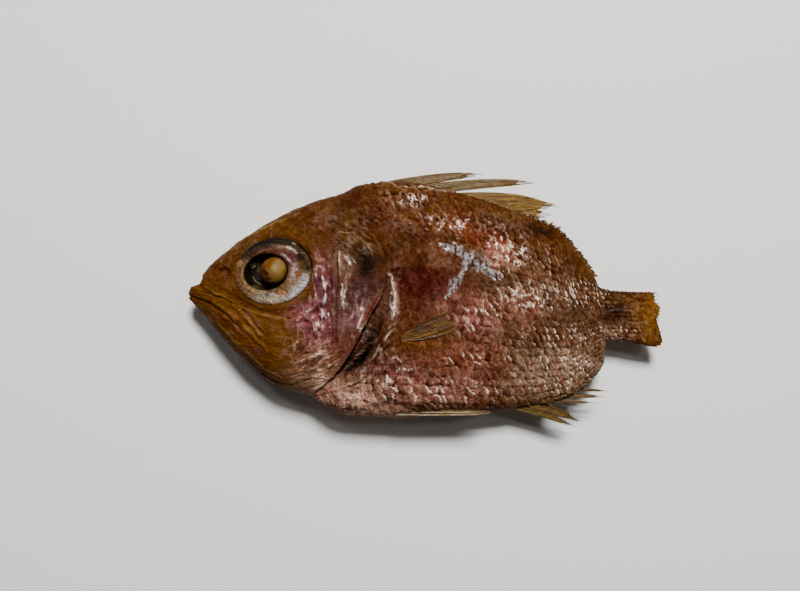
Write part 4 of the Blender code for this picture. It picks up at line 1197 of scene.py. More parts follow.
# %% [markdown]
# ## The eyes
#
# A cooked eye shrinks. Its lens turns into a hard tan ball that stands in a dark hollow, and the
# iris round it dries to a silvery, wrinkled ring. The ring and its hollow are one surface: a
# profile carried round the eye, whose centre slides from the ring's to the hollow's on its way
# in. The pole at the bottom of the hollow and the one under the ring close it.

# %% The ring with its hollow
HOLLOW_SHIFT = np.array([-1.7, -0.25])
HOLLOW_RADII = (6.1, 4.95)
EYE_AROUND = 240
# The profile's stations: share of the way from ring (0) to hollow (1), share of that oval, height
EYE_PROFILE = [
    (0.0, 0.05, -5.1), (0.0, 0.60, -4.6), (0.0, 0.93, -2.6), (0.0, 1.005, -0.9), (0.0, 0.985, -0.1),
    (0.12, 0.97, 0.20), (0.3, 1.0, 0.42), (0.55, 1.0, 0.66), (0.75, 1.02, 0.85), (0.9, 1.03, 0.85),
    (1.0, 1.0, 0.55), (1.0, 0.97, -0.5), (1.0, 0.92, -2.0), (1.0, 0.72, -3.4), (1.0, 0.4, -4.0),
    (1.0, 0.06, -4.1),
]
EYE_STATIONS = 130
IRIS_FOLD = 0.42
# The lower eye stays this far above the floor
LOW_EYE_CLEAR = 0.3


def eye_surface(up):
    """The profile carried round: angle against the distance along the profile."""
    stations = np.array(EYE_PROFILE)
    lengths = np.linalg.norm(np.diff(stations * (3, 8, 1), axis=0), axis=1)
    at = np.concatenate([[0], np.cumsum(lengths)])
    even = np.linspace(0, at[-1], EYE_STATIONS)
    slide, size, height = (smooth_line(np.column_stack([at, column]), even)[:, None]
                           for column in stations.T)
    angle = (np.arange(EYE_AROUND) / EYE_AROUND * 2 * math.pi)[None]
    ring = np.stack([EYE_RADII[0] * np.cos(angle), EYE_RADII[1] * np.sin(angle)], -1)
    hollow = np.stack([HOLLOW_RADII[0] * np.cos(angle), HOLLOW_RADII[1] * np.sin(angle)], -1) + HOLLOW_SHIFT
    flat = (ring * (1 - slide[..., None]) + hollow * slide[..., None])
    centre = HOLLOW_SHIFT * slide[..., None]
    flat = centre + (flat - centre) * size[..., None]
    local = np.concatenate([flat, np.broadcast_to(height[..., None], (*flat.shape[:2], 1))], -1)
    folds = creases(np.stack([angle + 0 * slide, slide + 0 * angle], -1), 0, 0.16, 0.5, 77, 3)
    shown = smooth_step(-0.2, 0.3, local[..., 2])
    local[..., 2] += shown * IRIS_FOLD * (folds - 0.5)
    middle, axes = eye_frame(up)
    points = middle + local @ axes
    if up < 0:
        points[..., 2] = np.maximum(points[..., 2], LOW_EYE_CLEAR)
    return points, slide + 0 * angle, local


# %% Stains and folds of the iris and its hollow
# In the same form as the skin's
IRIS_BASE = "#6a5238"
IRIS_DEPTH = 0.74
IRIS_STAINS = [
    ((270, 243), (40, 8), -4, "#1c150a", 1.0),
    ((300, 251), (9, 7), 40, "#33240f", 0.95),
    ((252, 252), (16, 5), -32, "#2c2210", 0.95),
    ((284, 247.5), (12, 2.2), 12, "#8a6c58", 0.8),
    ((240, 262), (4, 3), 0, "#94785a", 0.7),
    ((239, 276), (4, 14), -8, "#7e5a3a", 0.9),
    ((251, 292), (14, 5), 32, "#9c7454", 0.8),
    ((264, 298), (12, 6), 15, "#a8a28c", 0.9),
    ((280, 301), (14, 7), -8, "#cbbda6", 0.9),
    ((297, 292), (13, 6), -45, "#c6c5c9", 1.0),
    ((305, 281), (5, 7), -20, "#d2d3d8", 0.9),
    ((291, 259), (6, 10), 25, "#583034", 0.95),
    ((276, 252), (19, 3.8), 3, "#603830", 0.95),
    ((293, 282), (5, 6), 20, "#94745c", 0.8),
    ((283, 294), (7, 4), -20, "#a87a50", 0.7),
    ((262, 254), (9, 3), -18, "#6f4a2c", 0.8),
    ((294, 271), (3.5, 9), 5, "#b6a0a2", 0.7),
    ((298, 273.5), (3.4, 3.0), 20, "#80500e", 0.85),
    ((301, 257.5), (6.5, 4.5), 30, "#1c0a04", 1.0),
    ((306, 262), (3, 3), 0, "#24140a", 0.9),
    ((303, 265), (6, 4.5), 0, "#4a3418", 0.95),
    ((308.5, 267), (2.6, 3.4), 0, "#0a0604", 1.0),
]
IRIS_RIDGES = [
    ([(239, 259), (249, 249), (262, 242), (276, 238.5), (290, 239.5), (301, 245), (308, 254)],
     1.7, -0.35, "#0e0904", 1.0),
    # The two whitish strokes at the top right are painted highlights
    ([(286, 247.6), (290.5, 249), (295.5, 252.8)], 1.5, 0.28, "#efe8e0", 1.0),
    ([(293, 242), (297.5, 244.6)], 1.1, 0.16, "#ded8cc", 0.9),
    ([(297, 252), (302, 252.5), (306, 255)], 0.7, 0.10, "#948058", 0.6),
    ([(282, 254), (287, 257.5), (290.5, 262)], 0.9, 0.16, "#e8dcd6", 0.95),
    ([(292, 263), (293.5, 270), (292, 277)], 1.0, 0.14, "#c9bcc0", 0.7),
    ([(258, 252), (270, 248.5), (284, 248)], 0.9, 0.14, "#8a7458", 0.6),
    ([(252, 259), (246, 263), (243, 270), (242.5, 279), (247, 288), (256, 295)], 1.3, 0.16, "#96785a", 0.6),
    ([(287, 293), (293, 290), (302, 281)], 0.6, -0.10, "#5c5058", 0.8),
    ([(284, 297), (291, 294), (299, 287)], 0.5, -0.10, "#6a5a5c", 0.7),
    ([(292, 297), (300, 290)], 0.5, -0.10, "#5c5462", 0.7),
    ([(296, 277), (301, 275), (306, 277)], 0.7, -0.12, "#2c2018", 0.8),
    ([(266, 303), (272, 297), (280, 300)], 0.6, -0.10, "#6a5440", 0.7),
    ([(268, 298), (273, 293), (279, 297)], 0.9, 0.14, "#dcd2c0", 0.8),
    ([(262, 302), (276, 304.5), (288, 302)], 0.8, -0.15, "#7a4a3c", 0.6),
    ([(283, 300), (292, 297), (301, 289)], 0.9, 0.14, "#e6e2ea", 0.8),
    ([(300, 279), (306, 282)], 0.8, -0.14, "#4a3020", 0.7),
    ([(240, 256), (243, 259)], 1.6, -0.3, "#120a04", 0.9),
]
HOLLOW_DARK, HOLLOW_MURK, RING_FOOT = "#140d05", "#544826", "#6a4626"
HOLLOW_MARKS = [
    ([(262, 258), (270, 254.5), (280, 255), (288, 260), (291, 269), (289, 279), (282, 286)],
     1.8, 0.0, "#6a1c0c", 1.0),
    ([(253, 277), (257, 282.5), (265, 286)], 0.7, 0.0, "#8c8254", 0.8),
    ([(252, 268), (256, 266.5)], 0.8, 0.0, "#a39c7c", 0.7),
    ([(248, 262), (252, 259)], 1.4, 0.0, "#241f12", 0.8),
    ([(258, 262), (262, 259)], 1.0, 0.0, "#5c543a", 0.6),
]
print(len(IRIS_STAINS), "stains and", len(IRIS_RIDGES), "folds of the iris")

# %% The painted rings
def make_eye_ring(side, up):
    """Paints the iris and the floor of its hollow, raises the folds and makes it a piece."""
    points, slide, local = eye_surface(up)
    pixels = seen_at(points)
    colour = enriched(stained(pixels, IRIS_BASE, IRIS_STAINS, 3), IRIS_DEPTH)
    streaks = 0.6 * creases(pixels, -42, 9, 1.5, 301) + 0.4 * creases(pixels, 20, 6, 1.8, 311)
    colour = colour * (0.25 + 1.25 * streaks)[..., None]
    relief, colour, gloss = ridge_marks(pixels, IRIS_RIDGES, colour)
    inner = smooth_step(0.95, 1.0, slide) * (1 - smooth_step(0.2, 0.6, local[..., 2]))
    murk = smooth_step(0.45, 0.75, layered_noise(pixels, 6, 3, 88))
    floor_colour = np.broadcast_to(linear_from_hex(HOLLOW_DARK), colour.shape)
    floor_colour = mixed(floor_colour, 0.9 * murk, HOLLOW_MURK)
    floor_colour = ridge_marks(pixels, HOLLOW_MARKS, floor_colour)[1]
    colour = colour + inner[..., None] * (floor_colour - colour)
    outer = (1 - smooth_step(0.0, 0.06, slide)) * (1 - smooth_step(-0.3, 0.3, local[..., 2]))
    low = smooth_step(-1, 3, -local[..., 1])
    # Painted shade on the ring's outer wall where it faces the open gap; lower down it takes the ring's foot
    # colour
    colour = mixed(mixed(colour, outer * (1 - low), SOCKET_SHADE_DARK), outer * low, RING_FOOT)
    silvery = smooth_step(0.05, 0.30, colour.mean(-1))
    gloss = np.maximum(0.8 * gloss, (0.2 + 0.5 * streaks) * silvery) * (1 - inner) + 0.06 * inner
    normal = grid_normals(points)
    points = points + normal * (relief * (1 - inner) * smooth_step(-0.4, 0.2, local[..., 2]))[..., None]
    if up < 0:
        points[..., 2] = np.maximum(points[..., 2], LOW_EYE_CLEAR)
    make_piece(f"eye_ring_{side}", [closed_grid(points, colour, gloss)], iris_material,
               f"eyeball_{side}")


iris_material = tissue_material("dried_iris_film", 0.8, 0.09, (0.55, 0.3), (0.1, 0.6), fold_shading=0.4,
                                film=0.3, glinting=(0.2, 0.9))
make_eye_ring("left", 1)
make_eye_ring("right", -1)

# %% [markdown]
# The lens is a ball, but a cooked one is a little lumpy and flecked with brown where the dark
# lining clung to it. Noise on its radius gives the lumps.

# %% The lenses
LENS_AT = (0.3, 0.05)
# side, flank, radius and depth of the centre in mm, height as a share of the width
LENSES = (("left", 1, 3.8, 0.8, 1.0), ("right", -1, 3.1, 2.4, 0.6))
LENS_ROWS, LENS_COLUMNS = 72, 110
LENS_BASE, LENS_SHADE, LENS_DEPTH = "#7c5826", "#1c0804", 0.65
LENS_STAINS = [
    ((277, 270), (13, 13), 0, "#86683c", 0.9),
    # A lighter middle, painted highlight
    ((279, 267), (8, 8), 0, "#94784c", 0.9),
    ((267, 263), (5, 7), 30, "#84500f", 0.85),
    ((263, 272), (3, 9), 0, "#6a3c0a", 0.8),
    ((286, 276), (4, 9), -20, "#86601c", 0.8),
    ((271, 260.5), (8, 2.4), -25, "#6a3608", 0.75),
    ((263.5, 267), (1.8, 4.5), 8, "#542406", 0.85),
    ((264.8, 272.6), (4.6, 1.7), 32, "#3a0c02", 1.0),
    ((267.6, 279.2), (2.8, 1.3), -15, "#3a0c02", 1.0),
    ((265.5, 276.2), (1.4, 1.6), 0, "#4a1604", 0.9),
]
LENS_FLECKS = [
    ([(262.8, 270.5), (264.5, 272.6), (269, 274.6)], 2.6, 0.0, "#360a02", 1.0),
    ([(263.0, 270.8), (266.5, 273.6)], 2.2, 0.0, "#360a02", 1.0),
    ([(265.5, 278.8), (268.5, 277.8)], 1.8, 0.0, "#3a0c02", 1.0),
    ([(266, 262), (270, 259), (268, 266)], 1.1, 0.0, "#5a2c06", 0.8),
    ([(276, 269.5), (277, 270.5)], 0.8, 0.0, "#6e5428", 0.8),
]


def make_lens(side, up, radius, sink, squash):
    """A sphere by its angles, its radius pushed in and out by noise, and squashed if it lies low."""
    polar = np.linspace(0, math.pi, LENS_ROWS + 2)[1:-1, None]
    angle = (np.arange(LENS_COLUMNS) / LENS_COLUMNS * 2 * math.pi)[None]
    across = np.sin(polar)
    ball = np.stack([across * np.cos(angle), across * np.sin(angle), np.cos(polar) + 0 * angle], -1)
    lumps = layered_noise(ball * radius, 1.6, 3, 17) - 0.5
    local = ball * (radius * (1 + 0.035 * lumps))[..., None] * (1, 1, squash) + (*LENS_AT, -sink)
    middle, axes = eye_frame(up)
    points = middle + local @ axes
    pixels = seen_at(points)
    cloudy = 0.7 + 0.6 * layered_noise(ball * radius, 1.2, 3, 3)
    colour = enriched(stained(pixels, LENS_BASE, LENS_STAINS, 3) * cloudy[..., None], LENS_DEPTH)
    colour = ridge_marks(pixels, LENS_FLECKS, colour)[1]
    under = smooth_step(0.84, 0.99, np.hypot(ball[..., 0], ball[..., 1])) + (ball[..., 2] < 0)
    colour = mixed(colour, 0.95 * under, LENS_SHADE)
    gloss = np.full(points.shape[:2], 0.2)
    make_piece(f"eye_lens_{side}", [closed_grid(points, colour, gloss)], lens_material,
               f"lens_{side}")


lens_material = tissue_material("cooked_lens_protein", 0.9, 0.02, (0.5, 0.3), (0.05, 0.4), 0.04, 0.12,
                                film=0.3, glinting=(0.0, 1.0))
for lens_facts in LENSES:
    make_lens(*lens_facts)


# %% [markdown]
# ## Fins
#
# A dried fin is a bundle of stiff rays in a thin, torn membrane. Each fin here is a blade: a
# middle line from root to tip, and a half width along it. Rays and membrane are both read from
# that blade, so they always lie together. The rays are thin rods that end unevenly, and the
# membrane is a thin plate between them that stops a little short.

# %% Blades, rays and membranes
RAY_SIDES = 6
RAY_STATIONS = 16
FIN_DEPTH = 0.50
# The outermost rays lie at this share of a blade's half width
RAY_SPREAD = 0.92


class Blade:
    """A long leaf between a root and a tip, bowed sideways, with a half width along it."""

    def __init__(self, root, tip, width, bow, lift, fullness=3.0):
        self.root, self.tip = np.array(root, float), np.array(tip, float)
        self.run = self.tip - self.root
        flat = np.array([-self.run[1], self.run[0], 0.0])
        self.side = flat / np.linalg.norm(flat)
        self.width, self.bow, self.lift, self.fullness = width, bow, lift, fullness

    def at(self, t, c):
        """The point at share t of the length and c (-1 to 1) of the width."""
        t, c = np.broadcast_arrays(np.asarray(t, float), np.asarray(c, float))
        half = self.width / 2 * np.maximum(1 - t ** self.fullness, 0) ** 0.7
        middle = self.root + t[..., None] * self.run + self.side * (self.bow * 2 * t * (1 - t))[..., None]
        wave = self.lift * (layered_noise(np.stack([t * 3, c * 1.5], -1), 1.0, 2, 5) - 0.5)
        return middle + self.side * (half * c)[..., None] + np.array([0, 0, 1.0]) * wave[..., None]


def rod(path, radius, sides=RAY_SIDES):
    """A tapering rod round a path: a ring of points across it at every station."""
    ahead = np.gradient(path, axis=0)
    ahead /= np.linalg.norm(ahead, axis=1, keepdims=True)
    side = np.cross(ahead, [0, 0, 1.0])
    side /= np.maximum(np.linalg.norm(side, axis=1, keepdims=True), 1e-6)
    up = np.cross(side, ahead)
    angle = np.arange(sides) / sides * 2 * math.pi
    ring = side[:, None] * np.cos(angle)[None, :, None] + up[:, None] * np.sin(angle)[None, :, None]
    return path[:, None] + ring * np.asarray(radius)[:, None, None]


# %% Fins of horn
def fin_paint(t, lane, dark, light, seed):
    """Colour for fin parts: horn that turns from dark to light in streaks along the rays. t goes
    along a ray and lane counts across them."""
    t, lane = np.broadcast_arrays(np.asarray(t, float), np.asarray(lane, float))
    noise = layered_noise(np.stack([2.2 * t, 1.7 * lane], -1), 1.0, 3, seed)
    base = np.broadcast_to(linear_from_hex(dark), (*t.shape, 3))
    colour = mixed(base, smooth_step(0.35, 0.65, noise), light)
    return enriched(colour * (0.65 + 0.5 * np.sqrt(np.clip(t, 0, 1)))[..., None], FIN_DEPTH)


def painted_horn(points, t, lane, dark, light, seed, gloss, depth=1.0):
    """A closed grid with the colour of horn and an even gloss."""
    shade = depth * fin_paint(np.broadcast_to(t, points.shape[:2]), lane, dark, light, seed)
    return closed_grid(points, shade, np.full(points.shape[:2], gloss))


def fin_parts(blade, rays, ray_radius, dark, light, seed, web, reach):
    """Rays of one blade, the shortest and the longest as shares of its length in reach, and the
    membrane between them, as thick as web."""
    parts = []
    t = np.linspace(0, 1, RAY_STATIONS)
    ends = reach[0] + (reach[1] - reach[0]) * lattice_value(np.arange(rays)[:, None], seed)
    ends[rays // 2] = reach[1]
    places = np.linspace(-RAY_SPREAD, RAY_SPREAD, rays)
    for number, (c, end) in enumerate(zip(places, ends)):
        tube = rod(blade.at(t * end, c * (1 - 0.15 * t)), ray_radius * (1 - 0.75 * t))
        parts.append(painted_horn(tube, t[:, None], number, dark, light, seed, 0.25))
    across = np.linspace(-1, 1, 4 * rays + 1)
    shortest = np.interp(across, places, ends) - 0.05
    shortest = shortest - 0.10 * np.abs(np.sin((across + 1) * rays * 1.7 + seed))
    t = np.linspace(0.0, 1.0, 26)[:, None]
    sheet = blade.at(t * shortest, across[None])
    thin = web / 2 * (0.4 + 0.6 * np.abs(np.cos(across * (rays - 1) * math.pi / 2)))[None, :, None]
    up = np.array([0, 0, 1.0])
    both = np.concatenate([sheet + up * thin, (sheet - up * thin)[:, ::-1]], 1)
    lane = 1.5 * rays * np.concatenate([across, across[::-1]])[None]
    parts.append(painted_horn(both, t, lane, dark, light, seed + 50, 0.15, depth=0.8))
    return parts


# %% The horn's material
fin_material = tissue_material("dried_fin_horn", 0.6, 0.03, (0.5, 0.3), (0.1, 0.6), 0.2, 0.2, (0.2, 1, 1),
                               film=0.4, glinting=(0.0, 1.0))
FIN_SMOOTH_ANGLE = 80


def make_horn(name, parts):
    """A piece made of rays, membranes and bristles."""
    make_piece(name, parts, fin_material, smooth_angle=FIN_SMOOTH_ANGLE)


# %% [markdown]
# The fins of the back and of the anus are folded down, and only their tips stand clear of the
# body. Each is a blade as on the solid: the first two are broad, pale and sharp, the soft rays
# behind them brown.

# %% Fins of the back and the anus
HORN, PALE_HORN, BROWN_HORN, GOLDEN_HORN = "#6e4c20", "#9c7c44", "#6a4410", "#bc9040"
# root, tip, width, bow, rays, ray radius, dark, light, shortest and longest ray
DORSAL_FIN = [
    ((-12.0, 30.4), (16.0, 34.4), 2.9, 1.3, 6, 0.24, HORN, PALE_HORN, (0.9, 1.0)),
    ((-4.0, 29.2), (29.9, 32.1), 3.1, 1.6, 7, 0.26, HORN, PALE_HORN, (0.84, 1.0)),
    ((6.0, 27.4), (31.6, 27.2), 3.2, 1.2, 8, 0.22, BROWN_HORN, GOLDEN_HORN, (0.84, 1.0)),
    ((8.0, 25.2), (37.2, 25.3), 4.6, 1.5, 12, 0.22, BROWN_HORN, GOLDEN_HORN, (0.86, 1.0)),
    ((12.0, 23.4), (34.4, 22.9), 4.4, 0.9, 11, 0.20, BROWN_HORN, GOLDEN_HORN, (0.84, 1.0)),
]
ANAL_FIN = [
    ((36.0, -24.0), (48.9, -24.9), 0.9, 0.1, 2, 0.20, "#4c3418", "#947a54", (0.9, 1.0)),
    ((30.0, -26.2), (47.8, -26.3), 1.5, 0.3, 3, 0.22, "#5a3e20", "#98804e", (0.85, 1.0)),
    ((29.0, -27.0), (46.4, -28.2), 1.0, 0.2, 2, 0.20, "#5f4222", "#947a4a", (0.8, 1.0)),
    ((25.0, -27.2), (41.2, -32.9), 2.4, 0.9, 6, 0.22, "#4c3410", "#8a6a34", (0.85, 1.0)),
    ((22.0, -28.2), (39.6, -34.3), 1.8, 0.7, 5, 0.22, "#54380f", "#94743c", (0.85, 1.0)),
]


def fin_of_blades(blades, seed):
    """All parts of a fin whose blades lie level with the fish's middle line."""
    parts = []
    for number, (root, tip, width, bow, rays, radius, dark, light, reach) in enumerate(blades):
        height = float(smooth_line(MID_HEIGHT, (root[0] + tip[0]) / 2))
        blade = Blade((*root, height), (*tip, height - 0.6), width, bow, lift=0.5)
        parts += fin_parts(blade, rays, radius, dark, light, seed + 10 * number, web=0.3, reach=reach)
    return parts


make_horn("dorsal_fin", fin_of_blades(DORSAL_FIN, 400))
make_horn("anal_fin", fin_of_blades(ANAL_FIN, 430))

# %% [markdown]
# Each pelvic fin is folded to one pale, bone-hard spine along the belly. The breast fin is a
# small fan pressed onto the flank, so its blade is laid over the flank's own height.

# %% Pelvic spines and breast fins
PELVIC_ROOT, PELVIC_TIP, PELVIC_WIDTH = (-8.0, -30.4), (17.2, -30.4), 1.5
PELVIC_HEIGHTS = (12.8, 6.8)
# Dark and light colours of each
SPINE_COLOURS = ("#7a5c34", "#b8a078")
BREAST_RAY_COLOURS, BREAST_WEB_COLOURS = ("#56340a", "#9a6a20"), ("#4a2a06", "#7c5012")
BREAST_ROOT, BREAST_TIP = (-6.6, -11.5), (8.2, -6.6)
BREAST_HALF_WIDTH = [(0.0, 0.8), (0.35, 2.0), (0.8, 2.7), (1.0, 2.4)]
BREAST_RAYS = 14
BREAST_RUN = np.subtract(BREAST_TIP, BREAST_ROOT)
BREAST_SIDE = np.array([-BREAST_RUN[1], BREAST_RUN[0]]) / np.linalg.norm(BREAST_RUN)
FLOOR_GAP = 0.2


def pelvic_parts():
    """The spines of both pelvic fins, one above the other."""
    parts = []
    for level in PELVIC_HEIGHTS:
        blade = Blade((*PELVIC_ROOT, level), (*PELVIC_TIP, level), PELVIC_WIDTH, -0.3, lift=0.2, fullness=8)
        parts += fin_parts(blade, 3, 0.30, *SPINE_COLOURS, 470, web=0.5, reach=(0.97, 1.0))
    return parts


def on_breast_fin(up, t, c, above):
    """The point at share t of the fan's length and c (-1 to 1) of its width, over the flank."""
    plan = (np.array(BREAST_ROOT) + t[..., None] * BREAST_RUN
            + BREAST_SIDE * (c * smooth_line(BREAST_HALF_WIDTH, t))[..., None])
    high = flank_height(plan[..., 0], plan[..., 1]) + above
    middle = smooth_line(MID_HEIGHT, plan[..., 0])
    z = np.maximum(middle + up * (high - middle), FLOOR_GAP)
    return np.concatenate([plan, z[..., None]], -1)


def breast_fin_parts():
    """Rays that fan out from the root over the flank, on both sides, and the plate under them."""
    parts = []
    for up in (1, -1):
        t = np.linspace(0, 1, 24)
        luck = lattice_value(np.arange(BREAST_RAYS)[:, None], 9)
        for number, c in enumerate(np.linspace(-0.95, 0.95, BREAST_RAYS)):
            end = 0.80 + 0.20 * luck[number] - 0.1 * abs(c)
            above = 0.05 + 0.25 * smooth_step(0, 0.3, t) + 0.25 * (luck[number] - 0.5) * t
            bent = c + 0.10 * np.sin(3 * t + 7 * luck[number])
            radius = 0.20 * (1 - 0.6 * t) * (0.7 + 0.6 * luck[-1 - number])
            tube = rod(on_breast_fin(up, t * end, bent, above), radius)
            parts.append(painted_horn(tube, t[:, None], number, *BREAST_RAY_COLOURS, 480, 0.3))
        across = np.linspace(-1, 1, 31)
        long = (0.90 - 0.12 * np.abs(np.sin(across * 17)))[None]
        t = np.linspace(0, 1, 24)[:, None]
        wide = across[None] + 0 * t
        top = on_breast_fin(up, t * long, wide, 0.16 * smooth_step(0, 0.25, t + 0 * across))
        base = on_breast_fin(up, t * long, wide, -0.7)
        both = np.concatenate([top, base[:, ::-1]], 1)
        lane = 9 * np.concatenate([across, across[::-1]])[None]
        parts.append(painted_horn(both, t, lane, *BREAST_WEB_COLOURS, 499, 0.1))
    return parts


make_horn("pelvic_spines", pelvic_parts())
make_horn("breast_fins", breast_fin_parts())

# %% [markdown]
# ## Frayed rims
#
# The tail was cut off, and its rays stick out of the stub as bristles. The folded rear rims of
# the back and belly fins, and the edge of the lower jaw, are set with short broken ray ends too.
# All are the same little rod, planted along a line at a slant.

# %% Bristles along the rims
def bristle(path, radius, seed, dark="#33200a", light="#8a6630"):
    """One broken ray end: a short tapering rod along a path."""
    share = np.linspace(0, 1, len(path))
    tube = rod(path, radius * (1 - 0.75 * share ** 2), 5)
    return painted_horn(tube, share[:, None], seed % 97, dark, light, seed, 0.5)


def rim_bristles(x_from, x_to, outline, pitch, length, slant, radius, seed, levels):
    """Short rods planted along a stretch of an outline, leaning along the fish."""
    parts = []
    outward = 1 if outline is BACK_LINE else -1
    for level in levels:
        x = np.arange(x_from, x_to, pitch)
        tags = np.column_stack([np.arange(len(x)), np.full(len(x), int(level * 10))])
        luck = np.stack([lattice_value(tags, seed + k) for k in range(3)], -1)
        for number, (start, (size, lean, shift)) in enumerate(zip(x + pitch * (luck[:, 2] - 0.5), luck)):
            slope = float(smooth_line(outline, start + 0.3) - smooth_line(outline, start - 0.3)) / 0.6
            ahead = np.array([1.0, slope, 0.0]) / math.hypot(slope, 1)
            normal = np.array([-ahead[1], ahead[0], 0.0]) * outward
            turn = slant + 0.9 * (lean - 0.5)
            heading = ahead * math.cos(turn) + normal * math.sin(turn)
            middle = float(smooth_line(MID_HEIGHT, start)) + level
            base = np.array([start, float(smooth_line(outline, start)), middle]) - heading * 0.5
            share = np.linspace(0, 1, 5)[:, None]
            path = base + share * heading * (length * (0.3 + 1.0 * size ** 2) + 0.5)
            path[:, 2] += (shift - 0.5) * share[:, 0] ** 2
            parts.append(bristle(path, radius, seed + number))
    return parts


# %% Where the rims are frayed, and the tail's bristles
# from x, to x, outline, spacing, length, slant in radians, radius, seed, heights over the middle
FRAYED_RIMS = [
    (27, 45.8, BACK_LINE, 0.55, 1.0, 0.8, 0.42, 601, (-0.7, 0.0, 0.7)),
    (31, 47.8, BELLY_LINE, 0.55, 1.1, 0.5, 0.42, 611, (-0.7, 0.0, 0.7)),
    (-60, -35, BELLY_LINE, 0.50, 0.30, 0.9, 0.22, 621, (0.3, 1.3)),
    (49, 60, BACK_LINE, 0.9, 0.5, 0.2, 0.10, 631, (0.0, 0.8)),
]
# The tail's bristles are rooted this deep in the stub, at this height, and end before the limit
TAIL_ROOT, TAIL_LEVEL, TAIL_LIMIT = 3.4, 8.4, 63.5


def tail_bristles():
    """Rods out of the tail's cut end, fanned a little up and down and of uneven length."""
    parts = []
    belly, back = (float(smooth_line(line, TAIL_X)) for line in (BELLY_LINE, BACK_LINE))
    for number, y in enumerate(np.arange(belly + 0.2 - TAIL_SPREAD, back, 0.30)):
        luck, other, third = lattice_value(np.array([[number, 1], [number, 2], [number, 3]]), 55)
        lean = 0.22 * (y - (belly + back) / 2) / 6 + 0.35 * (other - 0.5)
        heading = np.array([1.0, lean, 0.12 * (third - 0.5)])
        base = np.array([TAIL_X - TAIL_ROOT, y - 2.0 * lean, TAIL_LEVEL + 0.5 * (other - 0.5)])
        long = 3.3 + float(smooth_line(TAIL_CUT, y + 0.7)) + 2.0 * luck
        path = base + np.linspace(0, 1, 6)[:, None] * heading * long
        path[:, 0] = np.minimum(path[:, 0], TAIL_LIMIT)
        parts.append(bristle(path, 0.15 + 0.16 * third, 700 + number, "#54300a", "#a8792a"))
    return parts


# %% [markdown]
# Through the slit behind the gill cover shows the comb of the gills, whose filaments dried to
# fine bristles. A few shreds of skin hang over it. Both are placed by their pixels, and a ray
# from the camera finds the flank under each.

# %% The comb of the gills
def on_flank(pixel, above):
    """The point over the upper flank that is seen at a pixel, found by a few steps along the ray."""
    ray = (CAMERA_AHEAD + CAMERA_RIGHT * (pixel[0] - PICTURE[0] / 2) / FOCAL_PX
           - CAMERA_UP * (pixel[1] - PICTURE[1] / 2) / FOCAL_PX)
    height = 15.0
    for _ in range(6):
        point = CAMERA_AT + ray * (height - CAMERA_AT[2]) / ray[2]
        height = float(flank_height(point[0], point[1])) + above
    return point


# The comb of gill filaments stands along the cover's edge, from one pixel to the other, and each
# filament reaches this many pixels into the slit
GILL_COMB = np.array([(366.0, 343.0), (344.0, 369.0)])
GILL_FILAMENTS = 24
FILAMENT_REACH = np.array([6.5, -1.0])
FILAMENT_COLOURS, SHRED_COLOURS = ("#2c1408", "#8a5c40"), ("#6a543a", "#c4b49a")
# Shreds of skin that hang over the slit: first and last pixel, heights over the flank at both, radius
GILL_SHREDS = [
    ((393, 327), (381, 342), (-0.6, -1.2), 0.55), ((390, 331), (383, 347), (-1.2, -1.4), 0.30),
    ((380, 343), (371, 362), (-1.2, -1.3), 0.50), ((376, 348), (368, 366), (-1.5, -1.5), 0.28),
    ((384, 349), (377, 353), (-1.2, -1.2), 0.30), ((398, 323), (386, 331), (-0.4, -0.9), 0.30),
]


def gill_parts():
    """Filaments that reach from the cover's lower edge into the slit, and the shreds."""
    parts = []
    tags = np.arange(GILL_FILAMENTS)[:, None]
    luck = np.stack([lattice_value(tags, 300 + k) for k in range(3)], -1)
    for number, (size, lean, lift) in enumerate(luck):
        start = GILL_COMB[0] + (GILL_COMB[1] - GILL_COMB[0]) * number / (GILL_FILAMENTS - 1)
        end = start + FILAMENT_REACH * (0.5 + 0.9 * size) + [0, 4.0 * (lean - 0.5)]
        path = np.linspace(on_flank(start, 0.35), on_flank(end, 0.1 - 0.8 * lift), 5)
        parts.append(bristle(path, 0.13, 900 + number, *FILAMENT_COLOURS))
    for number, (start, end, (first, last), radius) in enumerate(GILL_SHREDS):
        a, b = on_flank(start, first), on_flank(end, last)
        share = np.linspace(0, 1, 9)[:, None]
        path = a + share * (b - a) + np.array([0.3, 0.2, 0.2]) * np.sin(5 * share + number)
        parts.append(bristle(path, radius, 950 + number, *SHRED_COLOURS))
    return parts


# %% All bristles as two pieces
frayed = [part for rim in FRAYED_RIMS for part in rim_bristles(*rim)] + tail_bristles()
make_horn("frayed_rims", frayed)
make_horn("gill_filaments", gill_parts())

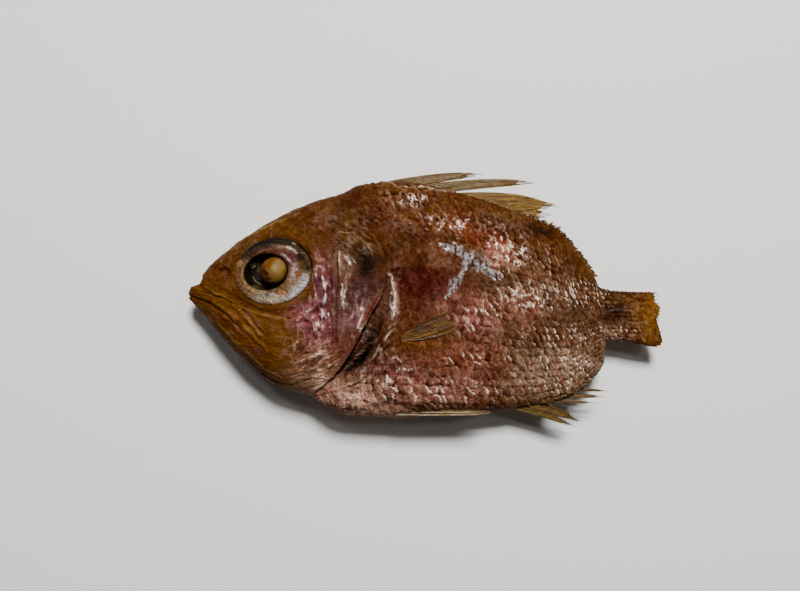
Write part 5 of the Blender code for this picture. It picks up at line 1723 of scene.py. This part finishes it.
# %% [markdown]
# ## Floor and light
#
# The fish lies on a plain pale floor. The light comes from one lamp beyond its back, as the
# shadow under its jaw shows. It is small enough to give sparks and large enough for a soft rim of
# shadow. Three weak lamps overhead only keep the dark sides from going black.

# %% The floor
# In metres
FLOOR_REACH = 3
FLOOR_COLOUR, FLOOR_ROUGHNESS = "#efeeea", 0.7
floor_mesh = bpy.data.meshes.new("floor")
floor_corners = [(FLOOR_REACH * x, FLOOR_REACH * y, 0) for x, y in ((-1, -1), (1, -1), (1, 1), (-1, 1))]
floor_mesh.from_pydata(floor_corners, [], [(0, 1, 2, 3)])
floor = placed("floor", floor_mesh)
floor_material = bpy.data.materials.new("pale_floor")
floor_material.use_nodes = True
floor_shader = floor_material.node_tree.nodes["Principled BSDF"]
floor_shader.inputs["Base Color"].default_value = (*linear_from_hex(FLOOR_COLOUR), 1)
floor_shader.inputs["Roughness"].default_value = FLOOR_ROUGHNESS
floor_mesh.materials.append(floor_material)

# %% Lamps and background
def add_lamp(name, place, size, power):
    """A square soft lamp that points at the fish. Its power is in watts."""
    data = bpy.data.lights.new(name, "AREA")
    data.size, data.energy = size, power
    lamp = placed(name, data)
    lamp.location = place
    lamp.rotation_euler = (Vector((0, 0, 0)) - Vector(place)).to_track_quat("-Z", "Y").to_euler()


# name, place, size in metres, power
LAMPS = [
    ("window_beyond_the_back", (0.08, 0.40, 0.74), 0.20, 12.0),
    ("ceiling_lamp_near", (-0.25, 0.30, 0.78), 0.07, 0.35),
    ("ceiling_lamp_side", (0.36, 0.10, 0.70), 0.07, 0.3),
    ("ceiling_lamp_belly_side", (0.05, -0.38, 0.72), 0.07, 0.15),
]
for lamp_facts in LAMPS:
    add_lamp(*lamp_facts)
print(len(LAMPS), "lamps")
# The room's own light, warm and very weak
ROOM_COLOUR, ROOM_STRENGTH = (1.0, 0.95, 0.88, 1), 0.012
world = bpy.data.worlds.new("soft_room")
bpy.context.scene.world = world
world.use_nodes = True
world.node_tree.nodes["Background"].inputs["Color"].default_value = ROOM_COLOUR
world.node_tree.nodes["Background"].inputs["Strength"].default_value = ROOM_STRENGTH
